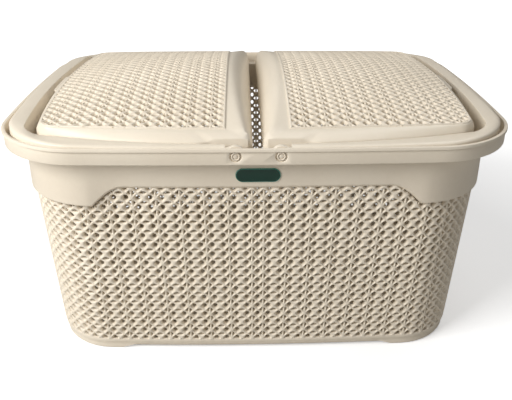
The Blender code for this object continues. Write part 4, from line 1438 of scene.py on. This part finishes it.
@dataclass
class Studio:
    """The pale floor, the soft light and the camera at the photograph's angle."""

    camera_place: Point3 = (-12.78 * MM, -652.51 * MM, 406.08 * MM)
    pitch: float = 24.521
    yaw: float = 1.644
    roll: float = 0.19
    focal_px: float = 642.443
    axis_px: Point2 = (259.744, 185.574)
    image: tuple[int, int] = (512, 400)
    sensor: float = 36.0
    aim: Point3 = (0.0, 0.0, 0.12)
    lamps: tuple[tuple[str, Point3, float, float], ...] = (
        ("key_lamp", (-0.9, -0.7, 0.85), 0.7, 18.0), ("back_lamp", (0.5, 0.3, 1.3), 0.9, 5.5),
        ("fill_lamp", (0.9, -1.1, 0.45), 0.8, 1.0))
    world_fill: float = 0.14
    floor_size: float = 12.0
    glow_reach: Point2 = (0.35, 1.1)
    glow_power: Point2 = (0.35, 1.0)

    def build_camera(self) -> None:
        """Adds the camera and makes it the scene's."""
        pitch, yaw, roll = (math.radians(value) for value in (self.pitch, self.yaw, self.roll))
        ahead = Vector((math.sin(yaw) * math.cos(pitch), math.cos(yaw) * math.cos(pitch), -math.sin(pitch)))
        right = Vector((math.cos(yaw), -math.sin(yaw), 0.0))
        up = right.cross(ahead)
        right_turned = right * math.cos(roll) + up * math.sin(roll)
        up_turned = up * math.cos(roll) - right * math.sin(roll)
        lens = bpy.data.cameras.new("camera")
        lens.sensor_width = self.sensor
        lens.lens = self.focal_px / self.image[0] * self.sensor
        lens.shift_x = (self.image[0] / 2.0 - self.axis_px[0]) / self.image[0]
        lens.shift_y = (self.axis_px[1] - self.image[1] / 2.0) / self.image[0]
        lens.clip_start = 0.01
        lens.clip_end = 50.0
        camera = bpy.data.objects.new("camera", lens)
        turn = Matrix((right_turned, up_turned, -ahead)).transposed().to_4x4()
        camera.matrix_world = Matrix.Translation(self.camera_place) @ turn
        bpy.context.scene.collection.objects.link(camera)
        bpy.context.scene.camera = camera

    def add_lamp(self, name: str, place: Point3, size: float, power: float) -> None:
        """Adds a soft lamp that faces the basket."""
        light = bpy.data.lights.new(name, "AREA")
        light.shape = "SQUARE"
        light.size = size
        light.energy = power
        lamp = bpy.data.objects.new(name, light)
        lamp.location = place
        lamp.rotation_euler = (Vector(self.aim) - Vector(place)).to_track_quat("-Z", "Y").to_euler()
        bpy.context.scene.collection.objects.link(lamp)

    def build_world(self) -> None:
        """A plain world that is white where the camera, gloss or glass sees it."""
        world = bpy.data.worlds.new("studio_world")
        bpy.context.scene.world = world
        world.use_nodes = True
        tree = world.node_tree
        tree.nodes.clear()
        path = add_node(tree, "LightPath").outputs
        seen = add_node(tree, "Math", {0: path["Is Camera Ray"], 1: path["Is Transmission Ray"]}, operation="MAXIMUM")
        plain = add_node(tree, "Background", {"Color": (1.0, 0.985, 0.96, 1.0), "Strength": self.world_fill})
        white = add_node(tree, "Background", {"Color": (1.0, 1.0, 1.0, 1.0), "Strength": 1.0})
        mix = add_node(tree, "MixShader", {0: seen.outputs[0], 1: plain.outputs[0], 2: white.outputs[0]})
        add_node(tree, "OutputWorld", {"Surface": mix.outputs[0]})

    def build_floor(self) -> None:
        """A wide pale floor that keeps the basket's shadow."""
        deselect_everything()
        bpy.ops.mesh.primitive_plane_add(size=self.floor_size, location=(0.0, 0.0, -0.0002))
        floor = bpy.context.active_object
        floor.name = "floor"
        made = bpy.data.materials.new("pale_floor")
        made.use_nodes = True
        tree = made.node_tree
        place = add_node(tree, "TexCoord").outputs["Object"]
        distance = add_node(tree, "VectorMath", {0: place}, operation="LENGTH")
        glow = add_node(tree, "MapRange", {
            "From Min": self.glow_reach[0], "From Max": self.glow_reach[1], "To Min": self.glow_power[0],
            "To Max": self.glow_power[1], "Value": distance.outputs["Value"]})
        seen = add_node(tree, "LightPath").outputs["Is Camera Ray"]
        lift = add_node(tree, "Math", {0: seen, 1: glow.outputs["Result"]}, operation="MULTIPLY")
        paint = add_node(tree, "Mix", {"A": (0.58, 0.57, 0.55, 1.0), "B": (0.90, 0.90, 0.90, 1.0), "Factor": seen},
                         data_type="RGBA")
        set_inputs(tree, tree.nodes["Principled BSDF"], {
            "Roughness": 0.9, "Specular IOR Level": 0.1, "Emission Color": (1.0, 1.0, 1.0, 1.0),
            "Emission Strength": lift.outputs[0], "Base Color": paint.outputs["Result"]})
        floor.data.materials.append(made)

    def build(self) -> None:
        """Builds the whole studio."""
        self.build_camera()
        self.build_world()
        self.build_floor()
        for lamp in self.lamps:
            self.add_lamp(*lamp)
        bpy.context.scene.view_settings.view_transform = "Standard"


def main() -> None:
    """Builds the pieces in order."""
    logging.basicConfig(level=logging.INFO, format="%(name)s: %(message)s")
    for part in (Studio(), BasketMoulding(), PivotPin(), Badge(), Lid(), Handle()):
        part.build()
        LOG.info("%s is done", type(part).__name__)


if __name__ == "__main__":
    main()
